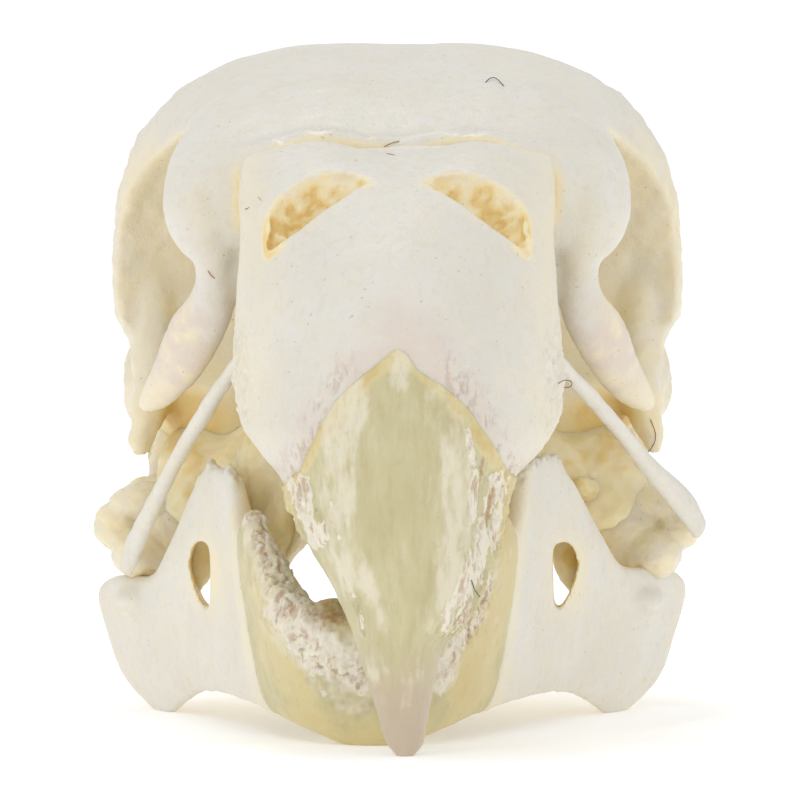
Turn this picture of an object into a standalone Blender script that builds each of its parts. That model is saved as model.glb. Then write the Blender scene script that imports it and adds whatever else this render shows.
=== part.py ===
"""A lovebird skull at life size, jaws closed, resting on its lower jaw.

The bill faces -Y, +X is the right of someone who looks at the bill, +Z is up and the floor is z = 0.
The forms are modelled in millimetres and scaled to metres at the very end.
"""

import math

import bmesh
import bpy
from mathutils import Euler, Matrix, Vector

# Driving sizes of the bird, in millimetres.
HINGE_Y = -6.3            # where the bill meets the forehead
HINGE_Z = 19.1
CROWN_Z = 22.9
CRANIUM_HALF_WIDTH = 9.75
OCCIPUT_Y = 16.5
SEPTUM_HALF_WIDTH = 0.34
ORBIT_CENTRE = (7.3, 0.3, 14.7)
ORBIT_RADII = (7.0, 4.9, 5.0)
WAIST_Z = 13.0            # below it the temples draw in
ARCH_X = 2.6              # the hinge rises on both sides of the midline
BILL_HALF_WIDTH = 5.2
HORN_PROUD = 0.1          # how far the horn stands out from the bone beside it
HORN_THICKNESS = 0.75
PALATE_HORN_Y = -8.7      # the horn of the palate ends here
JUGAL_RADIUS = 0.27
JAW_YAW = math.radians(2.0)   # the lower jaw has slipped a little to one side
JAW_PIVOT_Y = 4.5
JAW_SHIFT = -0.25
CHIN_X = -0.66            # where the slip has taken the chin
JAW_HORN_Y = -7.4         # the lower horn starts here on the outside
RIGHT_TALLER = 0.33       # the right branch of the jaw stands a little taller
SEAM = 0.3                # the gap between bones that meet

# Grain of the modelling, in millimetres, and triangles kept in each bone.
GRAIN = 0.22
FINE_GRAIN = 0.12
TRIANGLES = {
    "cranium": 4600,
    "upper_bill": 1500,
    "upper_sheath": 1200,
    "mandible": 2000,
    "lower_sheath": 900,
    "quadrate": 420,
    "palatine": 260,
}
METRES_PER_MM = 0.001


def clear_scene():
    for obj in list(bpy.data.objects):
        bpy.data.objects.remove(obj)


def material(name, colour, roughness):
    made = bpy.data.materials.new(name)
    made.use_nodes = True
    shader = made.node_tree.nodes["Principled BSDF"]
    shader.inputs["Base Color"].default_value = (*colour, 1.0)
    shader.inputs["Roughness"].default_value = roughness
    shader.inputs["Metallic"].default_value = 0.0
    return made


def add_object(name, mesh):
    obj = bpy.data.objects.new(name, mesh)
    bpy.context.scene.collection.objects.link(obj)
    return obj


def object_from(bm, name):
    bm.normal_update()
    bmesh.ops.recalc_face_normals(bm, faces=bm.faces)
    if bm.calc_volume(signed=True) < 0:
        bmesh.ops.reverse_faces(bm, faces=bm.faces)
    mesh = bpy.data.meshes.new(name)
    bm.to_mesh(mesh)
    bm.free()
    return add_object(name, mesh)


def remove(objects):
    for obj in objects:
        bpy.data.objects.remove(obj)


def settle(obj):
    """Turns an object's modifiers into its mesh."""
    bpy.context.view_layer.update()
    graph = bpy.context.evaluated_depsgraph_get()
    mesh = bpy.data.meshes.new_from_object(obj.evaluated_get(graph))
    obj.modifiers.clear()
    obj.data = mesh
    return obj


def curve_through(keys, steps):
    """Rows of numbers on a smooth curve through the key rows, with this many steps between two keys."""
    rows = []
    last = len(keys) - 1
    for i in range(last):
        before = keys[max(i - 1, 0)]
        start, end = keys[i], keys[i + 1]
        after = keys[min(i + 2, last)]
        for k in range(steps):
            t = k / steps
            rows.append([
                0.5 * (2 * b + (c - a) * t + (2 * a - 5 * b + 4 * c - d) * t ** 2
                       + (3 * b - a - 3 * c + d) * t ** 3)
                for a, b, c, d in zip(before, start, end, after)
            ])
    rows.append(list(keys[last]))
    return rows


def rounded(value, power):
    """A sine or cosine drawn out towards a box: 2 gives an ellipse and 4 a box with round corners."""
    return math.copysign(abs(value) ** (2 / power), value)


def loft(name, sections, sides, outline):
    """A closed solid through the sections; outline(section, angle) gives a point of one of them."""
    bm = bmesh.new()
    place = bm.verts.layers.int.new("place")
    ring = bmesh.ops.create_circle(bm, cap_ends=True, segments=sides, radius=1)["verts"]
    for i, vert in enumerate(ring):
        vert[place] = i
    edges = list(bm.edges)
    for number, section in enumerate(sections):
        if number:
            grown = bmesh.ops.extrude_edge_only(bm, edges=edges)["geom"]
            ring = [g for g in grown if isinstance(g, bmesh.types.BMVert)]
            edges = [g for g in grown if isinstance(g, bmesh.types.BMEdge)]
        for vert in ring:
            vert.co = outline(section, math.tau * vert[place] / sides)
    bmesh.ops.edgeloop_fill(bm, edges=edges)
    return object_from(bm, name)


def limb(name, keys, sides=14, steps=4, power=2.0, flat_towards=(0, 0, 1)):
    """A tapering limb. Each key is x, y, z, half width and half depth; the depth lies along flat_towards."""
    rows = curve_through(keys, steps)
    points = [Vector(row[:3]) for row in rows]
    sections = []
    for i, row in enumerate(rows):
        run = (points[min(i + 1, len(rows) - 1)] - points[max(i - 1, 0)]).normalized()
        across = run.cross(Vector(flat_towards)).normalized()
        deep = across.cross(run)
        sections.append((points[i], across * row[3], deep * row[4]))

    def outline(section, angle):
        centre, wide, deep = section
        return centre + wide * rounded(math.cos(angle), power) + deep * rounded(math.sin(angle), power)

    return loft(name, sections, sides, outline)


def ellipsoid(name, centre, radii, turn=(0, 0, 0), detail=3):
    """An ellipsoid; turn is in degrees about X, Y and Z."""
    bm = bmesh.new()
    bmesh.ops.create_icosphere(bm, subdivisions=detail, radius=1)
    tilt = Euler([math.radians(a) for a in turn]).to_matrix().to_4x4()
    bm.transform(Matrix.Translation(centre) @ tilt @ Matrix.Diagonal((*radii, 1)))
    return object_from(bm, name)


def block(name, low, high):
    bm = bmesh.new()
    bmesh.ops.create_cube(bm, size=1)
    size = Vector(high) - Vector(low)
    bm.transform(Matrix.Translation((Vector(high) + Vector(low)) / 2) @ Matrix.Diagonal((*size, 1)))
    return object_from(bm, name)


def floor_block():
    return block("floor", (-20, -30, -5), (20, 20, 0))


def mirrored(obj, name):
    """The same bone of the other side."""
    bm = bmesh.new()
    bm.from_mesh(obj.data)
    bm.transform(Matrix.Diagonal((-1, 1, 1, 1)))
    return object_from(bm, name)


def both_sides(piece):
    return [piece, mirrored(piece, piece.name + "_other")]


def joined(name, pieces):
    bm = bmesh.new()
    for piece in pieces:
        bm.from_mesh(piece.data)
    remove(pieces)
    mesh = bpy.data.meshes.new(name)
    bm.to_mesh(mesh)
    bm.free()
    return add_object(name, mesh)


def fused(name, pieces, grain, rounds):
    """One skin round all the pieces, with its inner corners smoothed as living bone grows."""
    obj = joined(name, pieces)
    skin = obj.modifiers.new("skin", "REMESH")
    skin.mode = "VOXEL"
    skin.voxel_size = grain
    soften = obj.modifiers.new("soften", "SMOOTH")
    soften.factor = 0.5
    soften.iterations = rounds
    return settle(obj)


def cut(obj, cutter, operation="DIFFERENCE"):
    boolean = obj.modifiers.new("cut", "BOOLEAN")
    boolean.object = cutter
    boolean.operation = operation
    settle(obj)
    remove([cutter])
    return obj


def cut_clear_of(obj, neighbour, gap=SEAM):
    """Trims obj so that it faces its neighbour across the seam."""
    cutter = add_object("cutter", neighbour.data.copy())
    swell = cutter.modifiers.new("swell", "DISPLACE")
    swell.strength = gap
    swell.mid_level = 0.0
    settle(cutter)
    skin = cutter.modifiers.new("skin", "REMESH")
    skin.mode = "VOXEL"
    skin.voxel_size = GRAIN
    settle(cutter)
    return cut(obj, cutter)


def thinned(obj, triangles):
    """Fewer faces, and only the largest closed surface."""
    bm = bmesh.new()
    bm.from_mesh(obj.data)
    bmesh.ops.triangulate(bm, faces=bm.faces)
    keep_largest(bm)
    bm.to_mesh(obj.data)
    count = len(bm.faces)
    bm.free()
    fewer = obj.modifiers.new("fewer", "DECIMATE")
    fewer.ratio = min(1.0, triangles / count)
    return settle(obj)


def keep_largest(bm):
    unseen = set(bm.verts)
    groups = []
    while unseen:
        group, edge = set(), [unseen.pop()]
        while edge:
            vert = edge.pop()
            group.add(vert)
            near = {e.other_vert(vert) for e in vert.link_edges} & unseen
            unseen -= near
            edge.extend(near)
        groups.append(group)
    groups.sort(key=len, reverse=True)
    scraps = [vert for group in groups[1:] for vert in group]
    bmesh.ops.delete(bm, geom=scraps, context="VERTS")


def fade(value, low, high):
    """0 below low and 1 above high, with a soft step between."""
    t = min(max((value - low) / (high - low), 0.0), 1.0)
    return t * t * (3 - 2 * t)


def hinge_arch(x):
    return 0.4 * math.exp(-((abs(x) - ARCH_X) / 1.5) ** 2)


def head_section(section, angle):
    """A section of the head across Y: y, half width, top, bottom and boxiness above and below."""
    y, half_width, top, bottom, above, below = section
    power = above if math.sin(angle) > 0 else below
    middle, half_height = (top + bottom) / 2, (top - bottom) / 2
    x = half_width * rounded(math.cos(angle), power)
    z = middle + half_height * rounded(math.sin(angle), power)
    if math.sin(angle) > 0:
        z += hinge_arch(x) * (1 - fade(y, -6.2, -4.6))
        z -= 0.12 * math.exp(-(x / 2) ** 2) * fade(y, -3, 1)
    x *= 1 - 0.075 * fade(WAIST_Z + 0.5 - z, 0, 1.1) * fade(y, 3, 5)
    return Vector((x, y, z))


def brain_case():
    """Forehead, crown and brain case, from the hinge of the bill to the back of the head."""
    keys = [
        (HINGE_Y, 5.3, HINGE_Z, 16.6, 3.2, 3.0),
        (-5.7, 6.9, 19.45, 15.6, 2.7, 2.7),
        (-4.6, 7.6, 20.15, 15.2, 2.55, 2.6),
        (-3.2, 7.65, 21.0, 15.1, 2.5, 2.6),
        (-1.5, 7.4, 21.75, 15.0, 2.5, 2.6),
        (0.5, 7.3, 22.3, 14.8, 2.55, 2.7),
        (2.2, 7.9, 22.65, 13.5, 2.6, 2.9),
        (3.6, 9.0, 22.85, 10.3, 2.65, 3.2),
        (5.0, 9.65, CROWN_Z, 7.9, 2.7, 3.3),
        (7.0, CRANIUM_HALF_WIDTH, 22.75, 6.9, 2.65, 3.1),
        (9.0, 9.4, 22.25, 6.75, 2.5, 2.8),
        (11.0, 8.7, 21.3, 7.2, 2.4, 2.5),
        (13.0, 7.4, 19.9, 8.3, 2.3, 2.3),
        (14.7, 5.8, 18.2, 9.9, 2.2, 2.2),
        (15.9, 3.9, 16.6, 11.1, 2.0, 2.0),
        (OCCIPUT_Y, 1.5, 14.9, 12.5, 2.0, 2.0),
    ]
    return loft("brain_case", curve_through(keys, 3), 48, head_section)


def cranium():
    case = brain_case()
    orbit = ellipsoid("orbit", ORBIT_CENTRE, ORBIT_RADII, detail=4)
    for cutter in both_sides(orbit):
        cut(case, cutter)
    septum = block("septum", (-SEPTUM_HALF_WIDTH, -5.0, 9.6), (SEPTUM_HALF_WIDTH, 5.5, 19.5))
    rostrum = limb("rostrum", [
        (0, 9.0, 8.6, 1.5, 0.8), (0, 5.5, 8.7, 0.8, 0.75), (0, 1.0, 9.3, 0.5, 0.6),
        (0, -3.5, 10.3, 0.42, 0.5), (0, -5.2, 11.0, 0.3, 0.4),
    ])
    base = ellipsoid("base", (0, 7.6, 7.0), (4.8, 4.8, 0.95))
    condyle = ellipsoid("condyle", (0, 12.8, 7.6), (0.8, 0.75, 0.7))
    vermis = ellipsoid("vermis", (0, 14.0, 14.6), (2.3, 2.5, 3.2), (20, 0, 0))
    front_wall = ellipsoid("front_wall", (0, -4.9, 15.8), (5.8, 0.75, 3.6))
    knob = ellipsoid("knob", (6.3, -4.5, 17.3), (1.4, 1.6, 1.95), (0, 8, 0))
    lacrimal = limb("lacrimal", [
        (6.1, -4.9, 16.9, 0.9, 1.1), (6.0, -4.9, 15.2, 0.6, 0.65), (6.15, -4.6, 14.0, 0.55, 0.85),
        (6.75, -3.8, 13.0, 0.5, 1.0), (7.35, -2.5, 11.9, 0.45, 0.85), (8.0, -1.1, 11.05, 0.4, 0.6),
        (8.4, -0.1, 10.7, 0.32, 0.35), (8.6, 0.3, 10.58, 0.15, 0.18),
    ], steps=4, flat_towards=(0.6, 0.1, 0.75))
    post_orbital = limb("post_orbital", [
        (8.3, 6.0, 14.2, 0.9, 1.1), (8.25, 5.2, 12.4, 0.9, 1.0), (8.2, 4.6, 11.2, 0.85, 0.8),
        (8.4, 4.2, 10.3, 0.62, 0.7), (8.72, 4.0, 9.4, 0.32, 0.45), (8.82, 3.9, 8.75, 0.16, 0.2),
    ], flat_towards=(0, 1, 0))
    squamosal = ellipsoid("squamosal", (8.35, 8.0, 11.2), (1.15, 2.3, 1.8), (10, 0, 0))
    ear_rim = ellipsoid("ear_rim", (7.2, 9.6, 8.9), (1.7, 1.7, 1.7))
    paroccipital = limb("paroccipital", [
        (5.6, 11.0, 9.5, 0.7, 1.3), (6.3, 11.2, 8.2, 0.5, 1.1), (6.5, 11.2, 7.2, 0.3, 0.6),
    ], flat_towards=(1, 0, 0))
    sides = [knob, lacrimal, post_orbital, squamosal, ear_rim, paroccipital]
    pieces = [case, septum, rostrum, base, condyle, vermis, front_wall]
    for piece in sides:
        pieces += both_sides(piece)
    skull = fused("cranium", pieces, GRAIN, 6)
    cut(skull, ellipsoid("foramen_magnum", (0, 14.2, 9.2), (1.7, 2.6, 1.75), (-40, 0, 0)))
    ear = ellipsoid("ear", (9.1, 9.0, 8.9), (1.7, 1.25, 1.15), (0, 20, 0))
    for cutter in both_sides(ear):
        cut(skull, cutter)
    optic = ellipsoid("optic", (0.9, 5.2, 12.2), (0.75, 2.0, 0.75), (0, 0, 20))
    for cutter in both_sides(optic):
        cut(skull, cutter)
    return thinned(skull, TRIANGLES["cranium"])


def bill_section(section, angle):
    """A level section of the bill: z, front, back, the reach to each side and boxiness."""
    z, front, back, left, right, power = section
    middle = back + (front - back) * 0.22
    sine = math.sin(angle)
    if sine > 0:
        power = 4.0
    x = (left + right) / 2 + (right - left) / 2 * rounded(math.cos(angle), power)
    y = middle + (back - middle if sine > 0 else front - middle) * abs(rounded(sine, power))
    return Vector((x, y, z + hinge_arch(x) * fade(z, 17.6, 19.0)))


def bill(name, proud):
    """The whole upper bill, swollen outwards by proud. Its left edge is worn back low down."""
    keys = [
        (19.0, -6.95, -6.4, -4.4, 4.4, 2.6),
        (18.85, -8.2, -6.3, -4.9, 4.9, 2.6),
        (18.4, -9.6, -6.2, -5.1, 5.1, 2.5),
        (17.6, -11.2, -6.1, -5.15, 5.15, 2.4),
        (16.3, -12.9, -6.05, -5.1, 5.1, 2.3),
        (14.6, -14.4, -6.0, -BILL_HALF_WIDTH, BILL_HALF_WIDTH, 2.15),
        (12.8, -15.4, -6.0, -5.3, 5.35, 2.0),
        (11.4, -15.9, -6.1, -5.25, 5.4, 1.9),
        (10.2, -16.2, -7.3, -4.95, 5.1, 1.85),
        (9.4, -16.3, -8.3, -4.4, 4.55, 1.85),
        (8.6, -16.35, -9.3, -3.7, 3.75, 1.85),
        (7.6, -16.35, -10.3, -3.3, 3.4, 1.85),
        (6.2, -16.2, -11.6, -2.5, 3.1, 1.9),
        (5.1, -16.0, -12.4, -1.85, 2.68, 1.9),
        (4.2, -15.8, -13.0, -1.45, 2.1, 1.9),
        (3.5, -15.65, -13.2, -1.25, 1.42, 1.95),
        (2.7, -15.45, -13.5, -1.05, 1.18, 2.0),
        (1.8, -15.2, -13.7, -0.78, 0.95, 2.0),
        (0.9, -14.95, -13.9, -0.42, 0.74, 2.0),
        (0.3, -14.8, -14.0, -0.16, 0.64, 2.0),
        (0.0, -14.72, -14.15, 0.0, 0.5, 2.0),
        (-0.15, -14.65, -14.25, 0.12, 0.38, 2.0),
    ]
    swollen = []
    for z, front, back, left, right, power in keys:
        grow = max(proud, 0.05 - (right - left) / 2)
        swollen.append((z, front - proud, back + proud / 2, left - grow, right + grow, power))
    return loft(name, curve_through(swollen, 4), 48, bill_section)


def prism(name, corners, y_low, y_high, steps=6, slope=0.0):
    """A solid with the smooth outline through the corners (x, z), drawn straight back and down by slope."""
    ring = corners + corners[:3]
    outline = curve_through(ring, steps)[steps:steps * (len(corners) + 1)]
    bm = bmesh.new()
    verts = [bm.verts.new((x, y_low, z)) for x, z in outline]
    bm.faces.new(verts)
    back = bmesh.ops.extrude_face_region(bm, geom=bm.faces[:])["geom"]
    run = y_high - y_low
    bmesh.ops.translate(
        bm, vec=(0, run, -slope * run), verts=[g for g in back if isinstance(g, bmesh.types.BMVert)]
    )
    return object_from(bm, name)


def nostril(name):
    """A slanting recess, sharp along its lower edge."""
    corners = [(0.95, 18.45), (2.4, 17.0), (4.05, 15.85), (4.2, 17.05), (3.3, 18.15), (2.2, 18.85), (1.4, 18.8)]
    lifted = [(x, z + 1.2) for x, z in corners]
    return prism(name, lifted, -15.0, -8.3, slope=0.3)


def horn_field(name, grow):
    """Where the horn lies: below a steep gable, seen from the front."""
    corners = [
        (0.1, 12.8 + grow), (-1.0 - grow, 12.0), (-2.0 - grow, 10.9), (-2.65 - grow, 9.8),
        (-3.3 - grow, 8.7), (-4.5 - grow, 8.0), (-9, 7.0), (-9, -3), (0, -4), (9, -3), (9, 7.0),
        (4.8 + grow, 8.1), (3.55 + grow, 8.8), (2.9 + grow, 9.9), (2.2 + grow, 11.0), (1.0 + grow, 12.1),
    ]
    return prism(name, corners, -30, 20)


def mouth_roof(grow):
    centre, radii = (0, -8.6, 7.6), (2.7, 4.4, 4.6)
    return ellipsoid("mouth_roof", centre, [r + grow for r in radii], (-35, 0, 0), detail=4)


def upper_bill(skull):
    bone = bill("upper_bill", 0.0)
    for cutter in both_sides(nostril("nostril")):
        cut(bone, cutter)
    cut(bone, horn_field("field", SEAM / 2))
    core = bill("core", -HORN_PROUD - HORN_THICKNESS - SEAM)
    cut(core, block("tip", (-20, -30, -5), (20, 20, 5.6)))
    cut(core, block("top", (-20, -30, 13.5), (20, 20, 30)))
    cut(bone, core, "UNION")
    cut(bone, mouth_roof(HORN_THICKNESS + SEAM))
    bone = fused("upper_bill", [bone], FINE_GRAIN, 2)
    cut_clear_of(bone, skull)
    return thinned(bone, TRIANGLES["upper_bill"])


def upper_sheath():
    horn = cut(bill("upper_sheath", HORN_PROUD), horn_field("field", -SEAM / 2), "INTERSECT")
    cut(horn, mouth_roof(0))
    cut(horn, block("behind", (-20, PALATE_HORN_Y, -5), (20, 30, 30)))
    pocket = bill("pocket", -HORN_THICKNESS)
    cut(pocket, block("tip", (-20, -30, -5), (20, 20, 5.3)))
    cut(pocket, mouth_roof(HORN_THICKNESS))
    cut(horn, pocket)
    horn = fused("upper_sheath", [horn], FINE_GRAIN, 2)
    cut(horn, floor_block())
    return thinned(horn, TRIANGLES["upper_sheath"])


def jaw_keys():
    """The left ramus from its back end to the chin: top point, bottom point and thickness."""
    return [
        (-10.15, 6.55, 3.6, -9.7, 6.3, 2.4, 0.45),
        (-9.95, 6.2, 4.2, -9.0, 6.2, 0.9, 0.8),
        (-9.35, 5.0, 4.6, -7.95, 5.3, -0.05, 0.95),
        (-8.65, 3.6, 4.65, -7.45, 3.9, -0.1, 1.0),
        (-7.85, 2.2, 4.85, -6.8, 2.4, 0.45, 0.9),
        (-7.25, 0.7, 5.85, -6.2, 0.8, 0.85, 0.8),
        (-6.65, -0.9, 7.1, -5.65, -0.9, 1.0, 0.75),
        (-6.1, -2.3, 8.2, -5.2, -2.5, 1.05, 0.75),
        (-5.7, -3.4, 8.75, -4.8, -3.8, 1.05, 0.75),
        (-5.15, -5.0, 8.75, -4.3, -5.2, 1.0, 0.85),
        (-4.7, -6.3, 8.6, -3.85, -6.4, 0.95, 0.95),
        (-4.4, -7.2, 6.9, -3.45, -7.2, 0.85, 1.1),
        (-4.05, -8.2, 7.45, -2.95, -8.0, 0.75, 1.3),
        (-3.55, -9.3, 6.4, -2.2, -8.9, 0.5, 1.5),
        (-2.65, -10.4, 4.9, -1.3, -9.4, 0.25, 1.8),
        (-1.45, -11.1, 4.4, -0.6, -9.75, 0.0, 1.9),
        (0.0, -11.3, 4.35, 0.0, -9.85, -0.12, 1.9),
    ]


def jaw_body():
    left = jaw_keys()
    right = [
        (-a, b, c + RIGHT_TALLER * fade(b, -8, -5), -d, e, f, g) for a, b, c, d, e, f, g in reversed(left[:-1])
    ]
    rows = curve_through(left + right, 4)
    tops = [Vector(row[:3]) for row in rows]
    feet = [Vector(row[3:6]) for row in rows]
    sections = []
    for i, row in enumerate(rows):
        ahead, behind = min(i + 1, len(rows) - 1), max(i - 1, 0)
        run = (tops[ahead] + feet[ahead] - tops[behind] - feet[behind]).normalized()
        tall = (tops[i] - feet[i]) / 2
        thick = run.cross(tall).normalized() * row[6] / 2
        sections.append(((tops[i] + feet[i]) / 2, thick, tall))

    def outline(section, angle):
        centre, thick, tall = section
        return centre + thick * rounded(math.cos(angle), 2.6) + tall * rounded(math.sin(angle), 3.2)

    return loft("jaw_body", sections, 32, outline)


def jaw_window(name):
    """The egg-shaped opening through each ramus."""
    corners = [(5.68, 5.85), (5.72, 4.1), (5.98, 4.0), (6.3, 4.6), (6.48, 5.3), (6.32, 5.95), (5.98, 6.15)]
    return prism(name, corners, -6.5, 4.0)


def whole_jaw(name):
    chin = ellipsoid("chin", (0, -8.3, 1.0), (1.9, 2.0, 0.85))
    socket = ellipsoid("socket", (8.4, 4.4, 3.9), (1.0, 1.7, 0.6), (0, 10, 0))
    jaw = fused(name, [jaw_body(), chin, *both_sides(socket)], FINE_GRAIN, 2)
    for cutter in both_sides(jaw_window("window")):
        cut(jaw, cutter)
    pivot = Matrix.Translation((0, JAW_PIVOT_Y, 0))
    slip = Matrix.Translation((JAW_SHIFT, 0, 0))
    jaw.data.transform(slip @ pivot @ Matrix.Rotation(-JAW_YAW, 4, "Z") @ pivot.inverted())
    return jaw


def chin_core_section(section, angle):
    """A level section of the bone inside the lower horn: z, half width and front."""
    z, half_width, front = section
    reach = 12.0 if math.sin(angle) > 0 else JAW_HORN_Y - front
    x = (half_width if math.sin(angle) < 0 else 15.0) * math.cos(angle)
    return Vector((x + CHIN_X, JAW_HORN_Y + reach * math.sin(angle), z))


def chin_core(grow):
    keys = [
        (-1.0, 2.2, -9.4), (0.4, 2.5, -9.9), (2.0, 2.95, -10.3), (4.0, 3.35, -10.6), (6.0, 3.7, -10.3),
        (9.0, 4.2, -10.0),
    ]
    grown = [(z, half + grow, front - grow) for z, half, front in keys]
    return loft("chin_core", curve_through(grown, 2), 48, chin_core_section)


def mandible():
    horn_side = block("horn_side", (-20, -30, -5), (20, JAW_HORN_Y + SEAM / 2, 20))
    cut(horn_side, chin_core(-SEAM / 2))
    bone = fused("mandible", [cut(whole_jaw("jaw"), horn_side)], FINE_GRAIN, 2)
    cut(bone, floor_block())
    return thinned(bone, TRIANGLES["mandible"])


def lower_sheath():
    horn = cut(whole_jaw("jaw"), chin_core(SEAM / 2))
    cut(horn, block("behind", (-20, JAW_HORN_Y - SEAM / 2, -5), (20, 30, 20)))
    horn = fused("lower_sheath", [horn], FINE_GRAIN, 2)
    cut(horn, floor_block())
    return thinned(horn, TRIANGLES["lower_sheath"])


def quadrate(name, side, skull, jaw):
    body = limb("body", [
        (9.9, 4.9, 6.2, 0.5, 0.6), (9.3, 4.9, 6.3, 0.75, 1.25), (8.3, 4.9, 6.5, 0.8, 1.6),
        (7.3, 4.6, 7.0, 0.65, 1.25), (6.5, 4.2, 7.5, 0.4, 0.7),
    ])
    head = limb("head", [
        (7.9, 5.0, 6.8, 0.9, 0.9), (7.75, 5.9, 8.2, 0.8, 0.7), (7.6, 6.8, 9.4, 0.7, 0.7), (7.6, 7.3, 10.2, 0.6, 0.6),
    ])
    orbital = limb("orbital", [
        (7.0, 4.3, 7.1, 0.6, 0.8), (6.5, 3.2, 7.6, 0.35, 0.5), (6.1, 2.4, 7.85, 0.22, 0.25),
    ])
    foot = ellipsoid("foot", (8.75, 4.4, 5.5), (1.0, 1.4, 0.85), (0, 6, 0))
    cup = ellipsoid("cup", (9.55, 4.7, 6.35), (0.85, 0.9, 0.85))
    bone = fused(name, [body, head, orbital, foot, cup], FINE_GRAIN, 4)
    if side < 0:
        bone.data.transform(Matrix.Diagonal((-1, 1, 1, 1)))
        bone.data.flip_normals()
    cut_clear_of(bone, skull)
    cut_clear_of(bone, jaw)
    return thinned(fused(name, [bone], FINE_GRAIN, 1), TRIANGLES["quadrate"])


def rod(name, keys, sides=12):
    return limb(name, keys, sides=sides, steps=5)


def jugals():
    """The cheek rods; the left one has dropped a little at its back end."""
    left = rod("jugal_left", [
        (-5.6, -5.95, 11.6, 0.2, 0.2), (-6.35, -4.15, 10.5, JUGAL_RADIUS, JUGAL_RADIUS),
        (-7.35, -1.6, 8.85, 0.25, 0.25), (-8.1, 0.4, 7.4, 0.26, 0.3), (-8.8, 2.0, 6.0, 0.28, 0.4),
        (-9.2, 2.6, 4.95, 0.22, 0.32),
    ])
    right = rod("jugal_right", [
        (5.65, -5.95, 11.8, 0.2, 0.2), (6.45, -4.4, 10.95, JUGAL_RADIUS, JUGAL_RADIUS),
        (7.5, -2.4, 9.75, 0.25, 0.25), (8.4, 0.0, 8.6, 0.26, 0.28), (9.7, 2.4, 7.2, 0.28, 0.4),
        (10.3, 3.4, 6.3, 0.22, 0.3),
    ])
    return [left, right]


def palatine(name, side):
    plate = limb("plate", [
        (2.2, -7.0, 9.3, 0.3, 0.5), (2.7, -5.9, 8.5, 0.3, 0.9), (3.3, -4.0, 7.3, 0.28, 1.8),
        (3.5, -2.0, 6.7, 0.28, 2.0), (3.3, 0.0, 6.8, 0.28, 1.5), (2.6, 1.6, 7.0, 0.28, 0.6),
        (2.3, 2.2, 7.05, 0.2, 0.3),
    ], flat_towards=(-0.25, 0, 1), power=2.4)
    bone = fused(name, [plate], FINE_GRAIN, 1)
    if side < 0:
        bone.data.transform(Matrix.Diagonal((-1, 1, 1, 1)))
        bone.data.flip_normals()
    return thinned(bone, TRIANGLES["palatine"])


def pterygoid(name, side):
    return rod(name, [
        (side * 2.3, 2.7, 7.0, 0.25, 0.25), (side * 3.2, 3.0, 6.85, 0.3, 0.32),
        (side * 4.6, 3.5, 6.55, 0.3, 0.34), (side * 5.6, 3.8, 6.4, 0.3, 0.36),
    ])


def finish(obj, finish_material, sharp_angle=60):
    obj.data.transform(Matrix.Diagonal((METRES_PER_MM,) * 3 + (1,)))
    obj.data.shade_smooth()
    obj.data.set_sharp_from_angle(angle=math.radians(sharp_angle))
    obj.data.materials.clear()
    obj.data.materials.append(finish_material)


def main():
    clear_scene()
    bone = material("bleached_bone", (0.80, 0.76, 0.67), 0.45)
    horn = material("horn", (0.66, 0.62, 0.38), 0.4)
    skull = cranium()
    jaw = mandible()
    bones = [skull, jaw, upper_bill(skull), *jugals()]
    for name, side in (("left", -1), ("right", 1)):
        bones.append(quadrate("quadrate_" + name, side, skull, jaw))
        bones.append(palatine("palatine_" + name, side))
        bones.append(pterygoid("pterygoid_" + name, side))
    for obj in bones:
        finish(obj, bone)
    for obj in (upper_sheath(), lower_sheath()):
        finish(obj, horn)


main()
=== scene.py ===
"""The looks of a lovebird skull: bleached bone, the horn of both bills and the light round it.

Every form is modelled in millimetres on the places of its solid and scaled to metres at the end.
The bill faces -Y and the floor is z = 0.
"""

import math

import bmesh
import bpy
from mathutils import Euler, Matrix, Vector, bvhtree, noise


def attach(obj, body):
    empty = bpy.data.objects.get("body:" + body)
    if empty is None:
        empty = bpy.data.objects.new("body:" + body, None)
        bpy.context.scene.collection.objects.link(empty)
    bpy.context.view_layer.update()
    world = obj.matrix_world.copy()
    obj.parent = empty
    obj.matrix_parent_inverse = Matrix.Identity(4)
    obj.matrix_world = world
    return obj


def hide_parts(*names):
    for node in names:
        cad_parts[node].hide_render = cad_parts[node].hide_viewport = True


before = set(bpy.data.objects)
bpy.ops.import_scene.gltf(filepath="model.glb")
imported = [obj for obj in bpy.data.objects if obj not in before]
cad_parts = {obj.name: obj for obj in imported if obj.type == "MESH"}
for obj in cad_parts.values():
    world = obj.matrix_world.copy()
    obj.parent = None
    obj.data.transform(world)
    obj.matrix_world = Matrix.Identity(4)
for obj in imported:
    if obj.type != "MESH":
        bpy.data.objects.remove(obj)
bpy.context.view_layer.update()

MM = 0.001

# Sizes of the bird in millimetres, as in its solids.
HINGE_Y = -6.3
HINGE_Z = 19.1
CROWN_Z = 22.9
CRANIUM_HALF_WIDTH = 9.75
OCCIPUT_Y = 16.5
SEPTUM_HALF_WIDTH = 0.34
ORBIT_CENTRE = (7.3, 0.3, 14.7)
ORBIT_RADII = (7.0, 4.9, 5.0)
WAIST_Z = 13.0
ARCH_X = 2.6
BILL_HALF_WIDTH = 5.2
HORN_PROUD = 0.1
HORN_THICKNESS = 0.75
PALATE_HORN_Y = -8.7
JUGAL_RADIUS = 0.27
JAW_YAW = math.radians(2.0)
JAW_PIVOT_Y = 4.5
JAW_SHIFT = -0.25
CHIN_X = -0.66
JAW_HORN_Y = -7.4
RIGHT_TALLER = 0.33
SEAM = -0.24              # the horn laps over its bone with no gap

COARSE = 1.0
SKULL_GRAIN = 0.16 * COARSE
BILL_GRAIN = 0.085 * COARSE
SMALL_GRAIN = 0.085 * COARSE


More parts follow.
